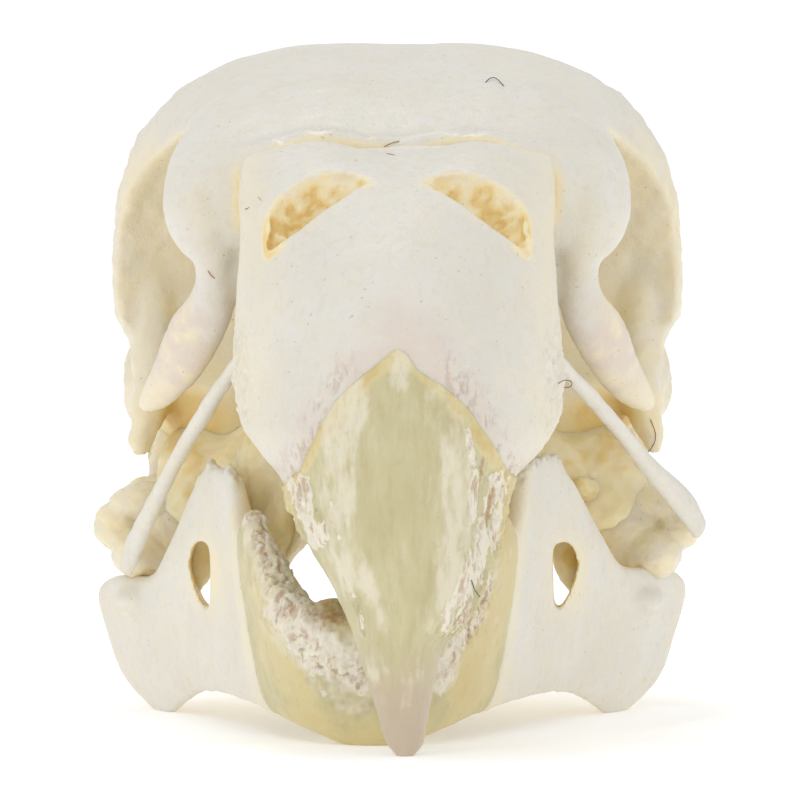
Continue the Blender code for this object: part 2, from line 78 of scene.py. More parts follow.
# Shapes
def add_object(name, mesh):
    obj = bpy.data.objects.new(name, mesh)
    bpy.context.scene.collection.objects.link(obj)
    return obj


def surface(bm, name):
    mesh = bpy.data.meshes.new(name)
    bm.to_mesh(mesh)
    bm.free()
    return add_object(name, mesh)


def solid(bm, name):
    """An object whose faces all look outwards."""
    bm.normal_update()
    bmesh.ops.recalc_face_normals(bm, faces=bm.faces)
    if bm.calc_volume(signed=True) < 0:
        bmesh.ops.reverse_faces(bm, faces=bm.faces)
    return surface(bm, name)


def remove(objects):
    for obj in objects:
        bpy.data.objects.remove(obj)


def settle(obj):
    """Turns an object's modifiers into its mesh."""
    bpy.context.view_layer.update()
    graph = bpy.context.evaluated_depsgraph_get()
    mesh = bpy.data.meshes.new_from_object(obj.evaluated_get(graph))
    obj.modifiers.clear()
    obj.data = mesh
    return obj


def curve_through(keys, steps):
    """Rows of numbers on a smooth curve through the key rows, with this many steps between two keys."""
    rows = []
    last = len(keys) - 1
    for i in range(last):
        before = keys[max(i - 1, 0)]
        start, end = keys[i], keys[i + 1]
        after = keys[min(i + 2, last)]
        for k in range(steps):
            t = k / steps
            rows.append([
                0.5 * (2 * b + (c - a) * t + (2 * a - 5 * b + 4 * c - d) * t ** 2
                       + (3 * b - a - 3 * c + d) * t ** 3)
                for a, b, c, d in zip(before, start, end, after)
            ])
    rows.append(list(keys[last]))
    return rows


def rounded(value, power):
    return math.copysign(abs(value) ** (2 / power), value)


def loft(name, sections, sides, outline):
    """A closed solid through the sections; outline(section, angle) gives a point of one of them."""
    bm = bmesh.new()
    place = bm.verts.layers.int.new("place")
    ring = bmesh.ops.create_circle(bm, cap_ends=True, segments=sides, radius=1)["verts"]
    for i, vert in enumerate(ring):
        vert[place] = i
    edges = list(bm.edges)
    for number, section in enumerate(sections):
        if number:
            grown = bmesh.ops.extrude_edge_only(bm, edges=edges)["geom"]
            ring = [g for g in grown if isinstance(g, bmesh.types.BMVert)]
            edges = [g for g in grown if isinstance(g, bmesh.types.BMEdge)]
        for vert in ring:
            vert.co = outline(section, math.tau * vert[place] / sides)
    bmesh.ops.edgeloop_fill(bm, edges=edges)
    return solid(bm, name)


def limb(name, keys, sides=16, steps=5, power=2.0, flat_towards=(0, 0, 1)):
    """A tapering limb. Each key is x, y, z, half width and half depth, which lies along flat_towards."""
    rows = curve_through(keys, steps)
    points = [Vector(row[:3]) for row in rows]
    sections = []
    for i, row in enumerate(rows):
        run = (points[min(i + 1, len(rows) - 1)] - points[max(i - 1, 0)]).normalized()
        across = run.cross(Vector(flat_towards)).normalized()
        deep = across.cross(run)
        sections.append((points[i], across * row[3], deep * row[4]))

    def outline(section, angle):
        centre, wide, deep = section
        return centre + wide * rounded(math.cos(angle), power) + deep * rounded(math.sin(angle), power)

    return loft(name, sections, sides, outline)


def ellipsoid(name, centre, radii, turn=(0, 0, 0), detail=4):
    """An ellipsoid; turn is in degrees about X, Y and Z."""
    bm = bmesh.new()
    bmesh.ops.create_icosphere(bm, subdivisions=detail, radius=1)
    tilt = Euler([math.radians(a) for a in turn]).to_matrix().to_4x4()
    bm.transform(Matrix.Translation(centre) @ tilt @ Matrix.Diagonal((*radii, 1)))
    return solid(bm, name)


def block(name, low, high):
    bm = bmesh.new()
    bmesh.ops.create_cube(bm, size=1)
    size = Vector(high) - Vector(low)
    bm.transform(Matrix.Translation((Vector(high) + Vector(low)) / 2) @ Matrix.Diagonal((*size, 1)))
    return solid(bm, name)


def floor_block():
    return block("floor", (-20, -30, -5), (20, 20, 0))


def prism(name, corners, y_low, y_high, steps=8, slope=0.0):
    """A solid with the smooth outline through the corners (x, z), drawn back and down by slope."""
    ring = corners + corners[:3]
    outline = curve_through(ring, steps)[steps:steps * (len(corners) + 1)]
    bm = bmesh.new()
    verts = [bm.verts.new((x, y_low, z)) for x, z in outline]
    bm.faces.new(verts)
    back = bmesh.ops.extrude_face_region(bm, geom=bm.faces[:])["geom"]
    run = y_high - y_low
    moved = [g for g in back if isinstance(g, bmesh.types.BMVert)]
    bmesh.ops.translate(bm, vec=(0, run, -slope * run), verts=moved)
    return solid(bm, name)


def mirrored(obj, name):
    bm = bmesh.new()
    bm.from_mesh(obj.data)
    bm.transform(Matrix.Diagonal((-1, 1, 1, 1)))
    return solid(bm, name)


def both_sides(piece):
    return [piece, mirrored(piece, piece.name + "_other")]


def joined(name, pieces):
    bm = bmesh.new()
    for piece in pieces:
        bm.from_mesh(piece.data)
    remove(pieces)
    return surface(bm, name)


def fused(name, pieces, grain, rounds):
    """One skin round all the pieces, with its inner corners smoothed as living bone grows."""
    obj = joined(name, pieces)
    skin = obj.modifiers.new("skin", "REMESH")
    skin.mode = "VOXEL"
    skin.voxel_size = grain
    soften = obj.modifiers.new("soften", "SMOOTH")
    soften.factor = 0.5
    soften.iterations = max(1, round(rounds / COARSE))
    return settle(obj)


def cut(obj, cutter, operation="DIFFERENCE"):
    boolean = obj.modifiers.new("cut", "BOOLEAN")
    boolean.object = cutter
    boolean.operation = operation
    settle(obj)
    remove([cutter])
    return obj


def cut_both(obj, cutter):
    """Cuts with a piece and with its mirror image."""
    for piece in both_sides(cutter):
        cut(obj, piece)
    return obj


def keep_largest(obj):
    bm = bmesh.new()
    bm.from_mesh(obj.data)
    unseen = set(bm.verts)
    groups = []
    while unseen:
        group, edge = set(), [unseen.pop()]
        while edge:
            vert = edge.pop()
            group.add(vert)
            near = {e.other_vert(vert) for e in vert.link_edges} & unseen
            unseen -= near
            edge.extend(near)
        groups.append(group)
    groups.sort(key=len, reverse=True)
    scraps = [vert for group in groups[1:] for vert in group]
    bmesh.ops.delete(bm, geom=scraps, context="VERTS")
    bm.to_mesh(obj.data)
    bm.free()
    return obj


def sculpt(obj, lift):
    """Moves each point of the surface along its normal by lift(place, normal), in millimetres."""
    bm = bmesh.new()
    bm.from_mesh(obj.data)
    bm.normal_update()
    moves = [(vert, vert.normal * lift(vert.co, vert.normal)) for vert in bm.verts]
    for vert, move in moves:
        vert.co += move
    bm.to_mesh(obj.data)
    bm.free()
    return obj


def paint(obj, name, shade):
    """Keeps shade(place, normal), from 0 to 1, with each point of the surface."""
    mesh = obj.data
    layer = mesh.attributes.new(name, "FLOAT", "POINT")
    values = [min(max(shade(v.co, v.normal), 0.0), 1.0) for v in mesh.vertices]
    layer.data.foreach_set("value", values)


def stroke(place, line, width):
    """1 on a line through points (x, z) seen from the front, falling to 0 at its width."""
    spot = Vector((place.x, place.z))
    nearest = width
    for start, end in zip(line, line[1:]):
        start, end = Vector(start), Vector(end)
        run = end - start
        along = min(max((spot - start).dot(run) / run.dot(run), 0.0), 1.0)
        nearest = min(nearest, (spot - start - run * along).length)
    return 1 - fade(nearest, 0.25 * width, width)


def fade(value, low, high):
    """0 below low and 1 above high, with a soft step between."""
    t = min(max((value - low) / (high - low), 0.0), 1.0)
    return t * t * (3 - 2 * t)


def bump_at(place, centre, size):
    """1 at the centre, falling off over size in X, Y and Z."""
    away = sum(((a - b) / c) ** 2 for a, b, c in zip(place, centre, size))
    return math.exp(-away)


def front_bump(place, x, z, wide, tall):
    """The same as the front sees it, at any depth."""
    return bump_at(place, (x, place.y, z), (wide, 1, tall))


def twin_bumps(place, x, z, wide, tall):
    """A front bump on each side."""
    return front_bump(place, math.copysign(x, place.x), z, wide, tall)


def grainy(place, size, octaves=3):
    """Fractal noise from about -1 to 1 with features of this size in millimetres."""
    return noise.fractal(place / size, 0.6, 2.0, octaves)


def uneven(depth, size):
    """A relief of plain noise."""
    return lambda place, normal: depth * grainy(place, size)


# Skull
def hinge_arch(x):
    return 0.4 * math.exp(-((abs(x) - ARCH_X) / 1.5) ** 2)


def head_section(section, angle):
    """A section of the head across Y: y, half width, top, bottom and boxiness above and below."""
    y, half_width, top, bottom, above, below = section
    power = above if math.sin(angle) > 0 else below
    middle, half_height = (top + bottom) / 2, (top - bottom) / 2
    x = half_width * rounded(math.cos(angle), power)
    z = middle + half_height * rounded(math.sin(angle), power)
    if math.sin(angle) > 0:
        z += hinge_arch(x) * (1 - fade(y, -6.2, -4.6))
        z -= 0.12 * math.exp(-(x / 2) ** 2) * fade(y, -3, 1)
    x *= 1 - 0.075 * fade(WAIST_Z + 0.5 - z, 0, 1.1) * fade(y, 3, 5)
    return Vector((x, y, z))


def brain_case():
    keys = [
        (HINGE_Y, 5.3, HINGE_Z, 16.6, 3.2, 3.0),
        (-5.7, 6.9, 19.45, 15.6, 2.7, 2.7),
        (-4.6, 7.6, 20.15, 15.2, 2.55, 2.6),
        (-3.2, 7.65, 21.0, 15.1, 2.5, 2.6),
        (-1.5, 7.4, 21.75, 15.0, 2.5, 2.6),
        (0.5, 7.3, 22.3, 14.8, 2.55, 2.7),
        (2.2, 7.9, 22.65, 13.5, 2.6, 2.9),
        (3.6, 9.0, 22.85, 10.3, 2.65, 3.2),
        (5.0, 9.65, CROWN_Z, 7.9, 2.7, 3.3),
        (7.0, CRANIUM_HALF_WIDTH, 22.75, 6.9, 2.65, 3.1),
        (9.0, 9.4, 22.25, 6.75, 2.5, 2.8),
        (11.0, 8.7, 21.3, 7.2, 2.4, 2.5),
        (13.0, 7.4, 19.9, 8.3, 2.3, 2.3),
        (14.7, 5.8, 18.2, 9.9, 2.2, 2.2),
        (15.9, 3.9, 16.6, 11.1, 2.0, 2.0),
        (OCCIPUT_Y, 1.5, 14.9, 12.5, 2.0, 2.0),
    ]
    return loft("brain_case", curve_through(keys, 6), 96, head_section)


def orbit_depth(place):
    """1 on and inside the wall of either orbit and 0 away from it."""
    right = (abs(place.x), place.y, place.z)
    away = sum(((a - b) / c) ** 2 for a, b, c in zip(right, ORBIT_CENTRE, ORBIT_RADII))
    return 1 - fade(away, 1.02, 1.2)


def skull():
    middle = [
        cut_both(brain_case(), ellipsoid("orbit", ORBIT_CENTRE, ORBIT_RADII, detail=5)),
        block("septum", (-SEPTUM_HALF_WIDTH, -5.0, 9.6), (SEPTUM_HALF_WIDTH, 5.5, 19.5)),
        limb("rostrum", [
            (0, 9.0, 8.6, 1.5, 0.8), (0, 5.5, 8.7, 0.8, 0.75), (0, 1.0, 9.3, 0.5, 0.6),
            (0, -3.5, 10.3, 0.42, 0.5), (0, -5.2, 11.0, 0.3, 0.4),
        ]),
        ellipsoid("base", (0, 7.6, 7.0), (4.8, 4.8, 0.95)),
        ellipsoid("condyle", (0, 12.8, 7.6), (0.8, 0.75, 0.7)),
        ellipsoid("vermis", (0, 14.0, 14.6), (2.3, 2.5, 3.2), (20, 0, 0)),
        ellipsoid("front_wall", (0, -4.9, 15.8), (5.8, 0.75, 3.6)),
    ]
    paired = [
        ellipsoid("knob", (6.3, -4.5, 17.3), (1.4, 1.6, 1.95), (0, 8, 0)),
        limb("lacrimal", [
            (6.1, -4.9, 16.9, 0.9, 1.1), (6.0, -4.9, 15.2, 0.6, 0.65), (6.15, -4.6, 14.0, 0.55, 0.85),
            (6.75, -3.8, 13.0, 0.5, 1.0), (7.35, -2.5, 11.9, 0.45, 0.85), (8.0, -1.1, 11.05, 0.4, 0.6),
            (8.4, -0.1, 10.7, 0.32, 0.35), (8.6, 0.3, 10.58, 0.15, 0.18),
        ], flat_towards=(0.6, 0.1, 0.75)),
        limb("post_orbital", [
            (8.3, 6.0, 14.2, 0.9, 1.1), (8.25, 5.2, 12.4, 0.9, 1.0), (8.2, 4.6, 11.2, 0.85, 0.8),
            (8.4, 4.2, 10.3, 0.62, 0.7), (8.72, 4.0, 9.4, 0.44, 0.5), (8.8, 3.9, 8.78, 0.3, 0.32),
        ], flat_towards=(0, 1, 0)),
        ellipsoid("squamosal", (8.35, 8.0, 11.2), (1.15, 2.3, 1.8), (10, 0, 0)),
        ellipsoid("ear_rim", (7.2, 9.6, 8.9), (1.7, 1.7, 1.7)),
        limb("paroccipital", [
            (5.6, 11.0, 9.5, 0.7, 1.3), (6.3, 11.2, 8.2, 0.5, 1.1), (6.5, 11.2, 7.2, 0.3, 0.6),
        ], flat_towards=(1, 0, 0)),
    ]
    sides = [side for piece in paired for side in both_sides(piece)]
    bone = fused("skull_bone", middle + sides, SKULL_GRAIN, 9)
    cut(bone, ellipsoid("foramen_magnum", (0, 14.2, 9.2), (1.7, 2.6, 1.75), (-40, 0, 0)))
    cut_both(bone, ellipsoid("ear", (9.1, 9.0, 8.9), (1.7, 1.25, 1.15), (0, 20, 0)))
    cut_both(bone, ellipsoid("optic", (0.9, 5.2, 12.2), (0.75, 2.0, 0.75), (0, 0, 20)))
    return sculpt(keep_largest(bone), skull_relief)


def skull_relief(place, normal):
    """The hinge's crest and groove, the ridges of the temples and the unevenness of old bone."""
    lift = 0.025 * grainy(place, 1.6) + 0.012 * grainy(place, 0.45, 2)
    crest_z = HINGE_Z + hinge_arch(place.x)
    if place.y < -4.4 and abs(place.x) < 6.2:
        crest = bump_at(place, (place.x, -5.9, crest_z + 0.25), (1, 0.5, 0.3))
        groove = bump_at(place, (place.x, -5.4, crest_z + 0.62), (1, 0.4, 0.25))
        lift += 0.2 * crest * (1 + 0.5 * grainy(place, 0.7))
        lift -= 0.16 * groove * fade(abs(place.x), 0.3, 1.4)
    rough = fade(place.y, 2.5, 4.5) * fade(abs(place.x), 6.0, 7.5)
    lift += rough * 0.09 * grainy(place + Vector((5, 0, 0)), 0.9)
    under = fade(10.5 - place.z, 0, 2)
    lift += under * 0.06 * grainy(place, 0.7)
    return lift


# Each glossy spot is x, z and its radius.
WET_SPOTS = (
    (-3.2, 19.35, 0.9), (-2.0, 19.6, 0.6), (-6.65, 17.95, 0.5), (2.6, 19.6, 0.7),
    (4.3, 19.2, 0.5), (6.9, 18.3, 0.5), (5.4, 16.6, 0.35), (5.6, 17.8, 0.3),
)


def skull_wet(place, normal):
    """Small glossy patches on the hinge's crest and the knobs before the eyes."""
    near = max(front_bump(place, x, z, radius, 0.55 * radius) for x, z, radius in WET_SPOTS)
    return near * (1 + 0.8 * grainy(place, 0.35))


def skull_stain(place, normal):
    """Yellow in the orbits, on the temples and below; white on the forehead."""
    orbit = orbit_depth(place) * 0.42
    temple = fade(place.y, 1.2, 4.0) * fade(21.5 - place.z, 0, 3.5) * (0.44 + 0.15 * grainy(place, 1.5))
    low = fade(13.0 - place.z, 0, 4) * fade(place.y, -0.3, 1.6)
    low *= 1 - 0.5 * fade(abs(place.x), 6.5, 8.5)
    hinge = 0.55 * bump_at(place, (place.x, -6.25, HINGE_Z + hinge_arch(place.x)), (1, 0.22, 0.25))
    spot = 0.9 * twin_bumps(place, 7.2, 10.2, 1.1, 0.9) * fade(place.y, 1, 3)
    crown = 0.13 * bump_at(place, (4.5, 3, 22), (2.5, 6, 2))
    slit = 0.62 * bump_at(place, (math.copysign(5.2, place.x), place.y, place.z), (0.22, 1, 1))
    slit *= fade(19.2 - place.z, 0, 1.2) * fade(place.z, 15.8, 17.4) * fade(-5.0 - place.y, 0, 0.4)
    knob = 0.2 * bump_at(place, (math.copysign(6.4, place.x), -5.5, 16.8), (0.8, 1.5, 1.6))
    wash = 0.1 * grainy(place, 2.5)
    return max(orbit, temple, low * 0.8) + hinge + spot + crown + slit + knob + wash


def skull_blush(place, normal):
    """Greyer bone on the blades before the eyes."""
    blade = bump_at(place, (math.copysign(7.0, place.x), -3.3, 12.8), (1.7, 2.6, 2.2))
    return 0.85 * blade * (1 + grainy(place, 0.7))


# Upper bill
def bill_section(section, angle):
    """A level section of the bill: z, front, back, the reach to each side and boxiness."""
    z, front, back, left, right, power = section
    middle = back + (front - back) * 0.22
    sine = math.sin(angle)
    if sine > 0:
        power = 4.0
    x = (left + right) / 2 + (right - left) / 2 * rounded(math.cos(angle), power)
    y = middle + (back - middle if sine > 0 else front - middle) * abs(rounded(sine, power))
    return Vector((x, y, z + hinge_arch(x) * fade(z, 17.6, 19.0)))


def bill(name, proud):
    """The whole upper bill, swollen outwards by proud. Its left edge is worn back low down."""
    keys = [
        (19.0, -6.95, -6.4, -4.4, 4.4, 2.6),
        (18.85, -8.2, -6.3, -4.9, 4.9, 2.6),
        (18.4, -9.6, -6.2, -5.1, 5.1, 2.5),
        (17.6, -11.2, -6.1, -5.15, 5.15, 2.4),
        (16.3, -12.9, -6.05, -5.1, 5.1, 2.3),
        (14.6, -14.4, -6.0, -BILL_HALF_WIDTH, BILL_HALF_WIDTH, 2.15),
        (12.8, -15.4, -6.0, -5.3, 5.35, 2.0),
        (11.4, -15.9, -6.1, -5.25, 5.4, 1.9),
        (10.2, -16.2, -7.3, -4.95, 5.1, 1.85),
        (9.4, -16.3, -8.3, -4.4, 4.55, 1.85),
        (8.6, -16.35, -9.3, -3.7, 3.75, 1.85),
        (7.6, -16.35, -10.3, -3.3, 3.4, 1.85),
        (6.2, -16.2, -11.6, -2.5, 3.1, 1.9),
        (5.1, -16.0, -12.4, -1.85, 2.68, 1.9),
        (4.2, -15.8, -13.0, -1.45, 2.1, 1.9),
        (3.5, -15.65, -13.2, -1.18, 1.4, 1.95),
        (2.7, -15.45, -13.5, -0.95, 1.18, 2.0),
        (1.8, -15.2, -13.7, -0.67, 1.0, 2.0),
        (1.1, -15.0, -13.85, -0.44, 0.86, 2.0),
        (0.45, -14.85, -13.95, -0.26, 0.77, 2.0),
        (0.15, -14.76, -14.05, -0.08, 0.6, 2.0),
        (-0.05, -14.68, -14.2, 0.14, 0.38, 2.0),
    ]
    swollen = []
    for z, front, back, left, right, power in keys:
        grow = max(proud, 0.05 - (right - left) / 2)
        swollen.append((z, front - proud, back + proud / 2, left - grow, right + grow, power))
    return loft(name, curve_through(swollen, 6), 96, bill_section)


NOSTRIL_CENTRE = Vector((2.8, -11.3, 17.4))
NOSTRIL_RADII = (2.5, 1.5, 1.25)
NOSTRIL_TURN = (-36, -34, 155)
NOSTRIL_TILT = Euler([math.radians(a) for a in NOSTRIL_TURN]).to_matrix()


def nostril():
    """A bowl that slopes in gently from above and ends sharply along its lower edge."""
    corners = [
        (0.9, 20.6), (0.98, 19.6), (1.15, 19.35), (2.15, 18.45), (3.1, 17.6), (3.85, 17.12),
        (4.1, 17.02), (4.14, 17.2), (4.05, 18.3), (4.3, 20.5), (3.0, 22.0),
    ]
    bowl = ellipsoid("nostril", NOSTRIL_CENTRE, NOSTRIL_RADII, NOSTRIL_TURN, detail=5)
    return cut(bowl, prism("field", corners, -15.0, -8.3, slope=0.3), "INTERSECT")


def nostril_floor(place):
    """1 on the floor of either nostril, fading out up its sides."""
    local = NOSTRIL_TILT.transposed() @ (Vector((abs(place.x), place.y, place.z)) - NOSTRIL_CENTRE)
    away = sum((a / b) ** 2 for a, b in zip(local, NOSTRIL_RADII))
    above_edge = place.z - 15.65 - 0.68 * (4.1 - abs(place.x))
    return (1 - fade(away, 1.05, 1.3)) * fade(-local.z, 0.1, 1.0) * fade(above_edge, -0.1, 0.15)


def crumpled(place):
    return noise.ridged_multi_fractal(place / 1.1, 0.9, 2.1, 4, 1.0, 2.0) - 1.2


def horn_field(grow):
    """Where the horn lies: below a steep gable, seen from the front."""
    corners = [
        (0.05, 12.75 + grow), (-0.5 - grow, 12.4), (-1.15 - grow, 11.9), (-1.9 - grow, 11.1),
        (-2.55 - grow, 9.95), (-3.15 - grow, 8.75), (-4.5 - grow, 8.0), (-9, 7.0), (-9, -3), (0, -4),
        (9, -3), (9, 7.0), (4.8 + grow, 8.1), (3.55 + grow, 8.8), (3.05 + grow, 9.65),
        (2.55 + grow, 10.4), (1.85 + grow, 11.3), (1.2 + grow, 11.8), (0.6 + grow, 12.2),
    ]
    return prism("field", corners, -30, 20)


def mouth_roof(grow):
    centre, radii = (0, -8.6, 7.6), (2.7, 4.4, 4.6)
    return ellipsoid("mouth_roof", centre, [r + grow for r in radii], (-35, 0, 0))


def above_horn(place):
    """Distance in millimetres from the horn's edge on the front of the bill; positive on the bone."""
    x = abs(place.x - 0.1)
    return place.z - (12.75 - 0.62 * x - 0.19 * x * x)


def bill_relief(place, normal):
    lift = 0.02 * grainy(place, 1.3) + 0.01 * grainy(place, 0.4, 2)
    lift -= 0.08 * pits_and_brow_shade(place, normal)
    side = fade(abs(place.x), 4.4, 5.0) * fade(14.5 - place.z, 0, 2) * fade(place.z - 9.5, 0, 1)
    lift += side * 0.1 * grainy(place, 0.5)
    edge = front_bump(place, place.x, 18.9 + hinge_arch(place.x), 1, 0.2) * fade(-place.y, 6.5, 7)
    return lift + 0.07 * edge + 0.16 * crumpled(place) * nostril_floor(place)


def bill_stain(place, normal):
    near = 0.22 * fade(1.8 - above_horn(place), 0, 1.7)
    sides = 0.3 * fade(abs(place.x), 2.8, 5.0)
    rim = 0.3 * fade(place.y, -6.9, -6.2)
    lining = nostril_floor(place) * (0.86 - 0.66 * crumpled(place))
    return near + sides + rim + lining + 0.08 * grainy(place, 2.2)


def pits_and_brow_shade(place, normal):
    """Dimples above the horn, rough bone low on the sides and painted shade under a nostril's brow."""
    near = fade(2.8 - above_horn(place), 0, 2.4) * fade(-place.y, 8, 10) * fade(abs(place.x), 0.8, 2.0)
    dimple = noise.fractal(Vector((place.x / 0.17, place.y / 0.4, place.z / 0.55)), 0.6, 2.1, 3)
    side = fade(abs(place.x), 4.5, 5.0) * fade(14.5 - place.z, 0, 2) * fade(place.z - 9.0, 0, 1)
    # painted shade: a tan darkening under the brow of each nostril
    shade = 0.9 * nostril_floor(place) * twin_bumps(place, 1.7, 18.4, 0.9, 0.3)
    return near * fade(dimple, 0.02, 0.45) + 0.5 * side * fade(grainy(place, 0.3), 0.15, 0.5) + shade


def blush(place, normal):
    """The faint mauve of the bone beside the horn."""
    return 0.9 * fade(3.6 - above_horn(place), 0, 3.2) * (0.75 + 0.35 * grainy(place, 0.8))


def bill_bone():
    bone = bill("bill_bone", 0.0)
    cut_both(bone, nostril())
    cut(bone, horn_field(SEAM / 2))
    core = bill("core", -HORN_PROUD - HORN_THICKNESS - SEAM)
    cut(core, block("tip", (-20, -30, -5), (20, 20, 5.6)))
    cut(core, block("top", (-20, -30, 13.5), (20, 20, 30)))
    cut(bone, core, "UNION")
    cut(bone, mouth_roof(HORN_THICKNESS + SEAM))
    bone = keep_largest(fused("bill_bone", [bone], BILL_GRAIN, 2))
    return sculpt(bone, bill_relief)


# Each stroke is its line through (x, z) seen from the front, its width and its weight.
FILMED_HORN = (
    ([(-1.5, 11.4), (-1.95, 9.8), (-1.85, 7.4), (-1.4, 5.6)], 1.1, 0.85),
    ([(1.2, 11.3), (2.0, 9.6), (1.9, 6.4), (1.3, 4.4)], 1.0, 0.8),
    ([(-1.15, 5.8), (-0.6, 3.0)], 0.9, 0.55),
    ([(0.25, 12.6), (0.1, 12.0)], 0.7, 0.9),
    ([(0.5, 3.0), (0.35, 1.2)], 0.55, 0.32),
)
SPLIT_HORN = (
    ([(-3.15, 8.6), (-2.8, 7.7), (-2.5, 6.9)], 0.62, 1.0),
    ([(-2.0, 8.0), (-1.85, 7.0)], 0.25, 0.7),
    ([(2.2, 10.4), (2.45, 9.0), (2.35, 7.4)], 0.22, 0.85),
    ([(3.1, 8.6), (2.9, 7.3), (2.45, 5.8), (1.8, 4.3)], 0.75, 0.9),
    ([(-1.35, 5.1), (-0.95, 3.9)], 0.25, 0.7),
)


def fibres(place, step=0.0):
    """Noise drawn out along the horn's growth."""
    return noise.fractal(Vector((place.x / 0.34, place.y / 0.4 + step, place.z / 1.5)), 0.65, 2.1, 4)


def laid_over(place, strokes):
    """How strongly any of the strokes covers a place, seen from the front."""
    return max(weight * stroke(place, line, width) for line, width, weight in strokes)


def flaked(place, normal):
    chips = laid_over(place, SPLIT_HORN) + 0.55 * fibres(place) + 0.15 * grainy(place, 0.3)
    return fade(chips, 0.45, 0.9)


def horn_film(place, normal):
    """A whitish film, soft and cloudy at its edges."""
    cloud = 0.4 * grainy(Vector((place.x, place.y, place.z * 0.45)), 0.7, 5)
    return fade(laid_over(place, FILMED_HORN) + cloud + 0.45 * fibres(place, 5.0), 0.05, 1.35)


def horn_tip(place, normal):
    return 0.85 * fade(4.4 - place.z, 0, 3.4)


def horn_relief(place, normal):
    """Chips standing in layers, a torn edge low on the left and furrows along the beak."""
    split = laid_over(place, SPLIT_HORN)
    lift = 0.02 * grainy(place, 1.0) + 0.015 * fibres(place, 3.0) + 0.02 * horn_film(place, normal)
    lift += 0.06 * flaked(place, normal) + 0.07 * split * fade(fibres(place, 7.0), 0.1, 0.2)
    torn = fade(abs(place.x) - 2.6, 0, 0.5) * fade(9 - place.z, 0, 1.5)
    return lift + torn * 0.14 * grainy(place, 0.5)


def horn_rim(place, normal):
    """Thin horn: warm beside the bone and along the cutting edges."""
    beside = 0.85 * fade(above_horn(place) + 0.6, 0, 0.6)
    tomium = 0.7 * fade(abs(place.x) - 2.7, 0, 0.8) * fade(9.3 - place.z, 0, 1.0)
    return max(beside, tomium) * (0.8 + 0.5 * grainy(place, 0.6))


def horn_brown(place, normal):
    """Brown where chips are missing, low on the right and at the torn edge."""
    right = stroke(place, [(2.75, 9.2), (2.9, 7.6), (2.3, 5.2), (1.9, 4.0)], 0.6)
    left = stroke(place, [(-3.2, 8.1), (-2.7, 7.0)], 0.5)
    missing = fade(fibres(place, 11.0) + 0.3 * grainy(place, 0.3), 0.05, 0.5)
    return 0.62 * max(right, left) * missing


def bill_horn():
    horn = cut(bill("bill_horn", HORN_PROUD), horn_field(-SEAM / 2), "INTERSECT")
    cut(horn, mouth_roof(0))
    cut(horn, block("behind", (-20, PALATE_HORN_Y, -5), (20, 30, 30)))
    pocket = bill("pocket", -HORN_THICKNESS)
    cut(pocket, block("tip", (-20, -30, -5), (20, 20, 5.3)))
    cut(pocket, mouth_roof(HORN_THICKNESS))
    cut(horn, pocket)
    horn = keep_largest(fused("bill_horn", [horn], BILL_GRAIN * 0.9, 2))
    sculpt(horn, horn_relief)
    return cut(horn, floor_block())


# Lower jaw
def jaw_keys():
    """The left ramus from its back end to the chin: top point, bottom point and thickness."""
    return [
        (-10.15, 6.55, 3.6, -9.7, 6.3, 2.4, 0.45),
        (-9.95, 6.2, 4.2, -9.0, 6.2, 0.9, 0.8),
        (-9.35, 5.0, 4.6, -7.95, 5.3, -0.05, 0.95),
        (-8.65, 3.6, 4.65, -7.45, 3.9, -0.1, 1.0),
        (-7.85, 2.2, 4.85, -6.8, 2.4, 0.45, 0.9),
        (-7.25, 0.7, 5.85, -6.2, 0.8, 0.85, 0.8),
        (-6.65, -0.9, 7.1, -5.65, -0.9, 1.0, 0.75),
        (-6.1, -2.3, 8.2, -5.2, -2.5, 1.05, 0.75),
        (-5.7, -3.4, 8.75, -4.8, -3.8, 1.05, 0.75),
        (-5.15, -5.0, 8.75, -4.3, -5.2, 1.0, 0.85),
        (-4.7, -6.3, 8.6, -3.85, -6.4, 0.95, 0.95),
        (-4.4, -7.2, 6.9, -3.45, -7.2, 0.85, 1.1),
        (-4.05, -8.2, 7.45, -2.95, -8.0, 0.75, 1.3),
        (-3.55, -9.3, 6.4, -2.2, -8.9, 0.5, 1.5),
        (-2.65, -10.4, 4.9, -1.3, -9.4, 0.25, 1.8),
        (-1.45, -11.1, 4.4, -0.6, -9.75, 0.0, 1.9),
        (0.0, -11.3, 4.35, 0.0, -9.85, -0.12, 1.9),
    ]


def jaw_body():
    left = jaw_keys()
    right = [
        (-a, b, c + RIGHT_TALLER * fade(b, -8, -5), -d, e, f, g)
        for a, b, c, d, e, f, g in reversed(left[:-1])
    ]
    rows = curve_through(left + right, 5)
    tops = [Vector(row[:3]) for row in rows]
    feet = [Vector(row[3:6]) for row in rows]
    sections = []
    for i, row in enumerate(rows):
        ahead, behind = min(i + 1, len(rows) - 1), max(i - 1, 0)
        run = (tops[ahead] + feet[ahead] - tops[behind] - feet[behind]).normalized()
        tall = (tops[i] - feet[i]) / 2
        thick = run.cross(tall).normalized() * row[6] / 2
        sections.append(((tops[i] + feet[i]) / 2, thick, tall))

    def outline(section, angle):
        centre, thick, tall = section
        return centre + thick * rounded(math.cos(angle), 2.6) + tall * rounded(math.sin(angle), 3.2)

    return loft("jaw_body", sections, 48, outline)


def jaw_window():
    """The egg-shaped opening through each ramus."""
    corners = [
        (5.68, 5.85), (5.72, 4.1), (5.98, 4.0), (6.3, 4.6), (6.48, 5.3), (6.32, 5.95), (5.98, 6.15),
    ]
    return prism("window", corners, -6.5, 4.0)


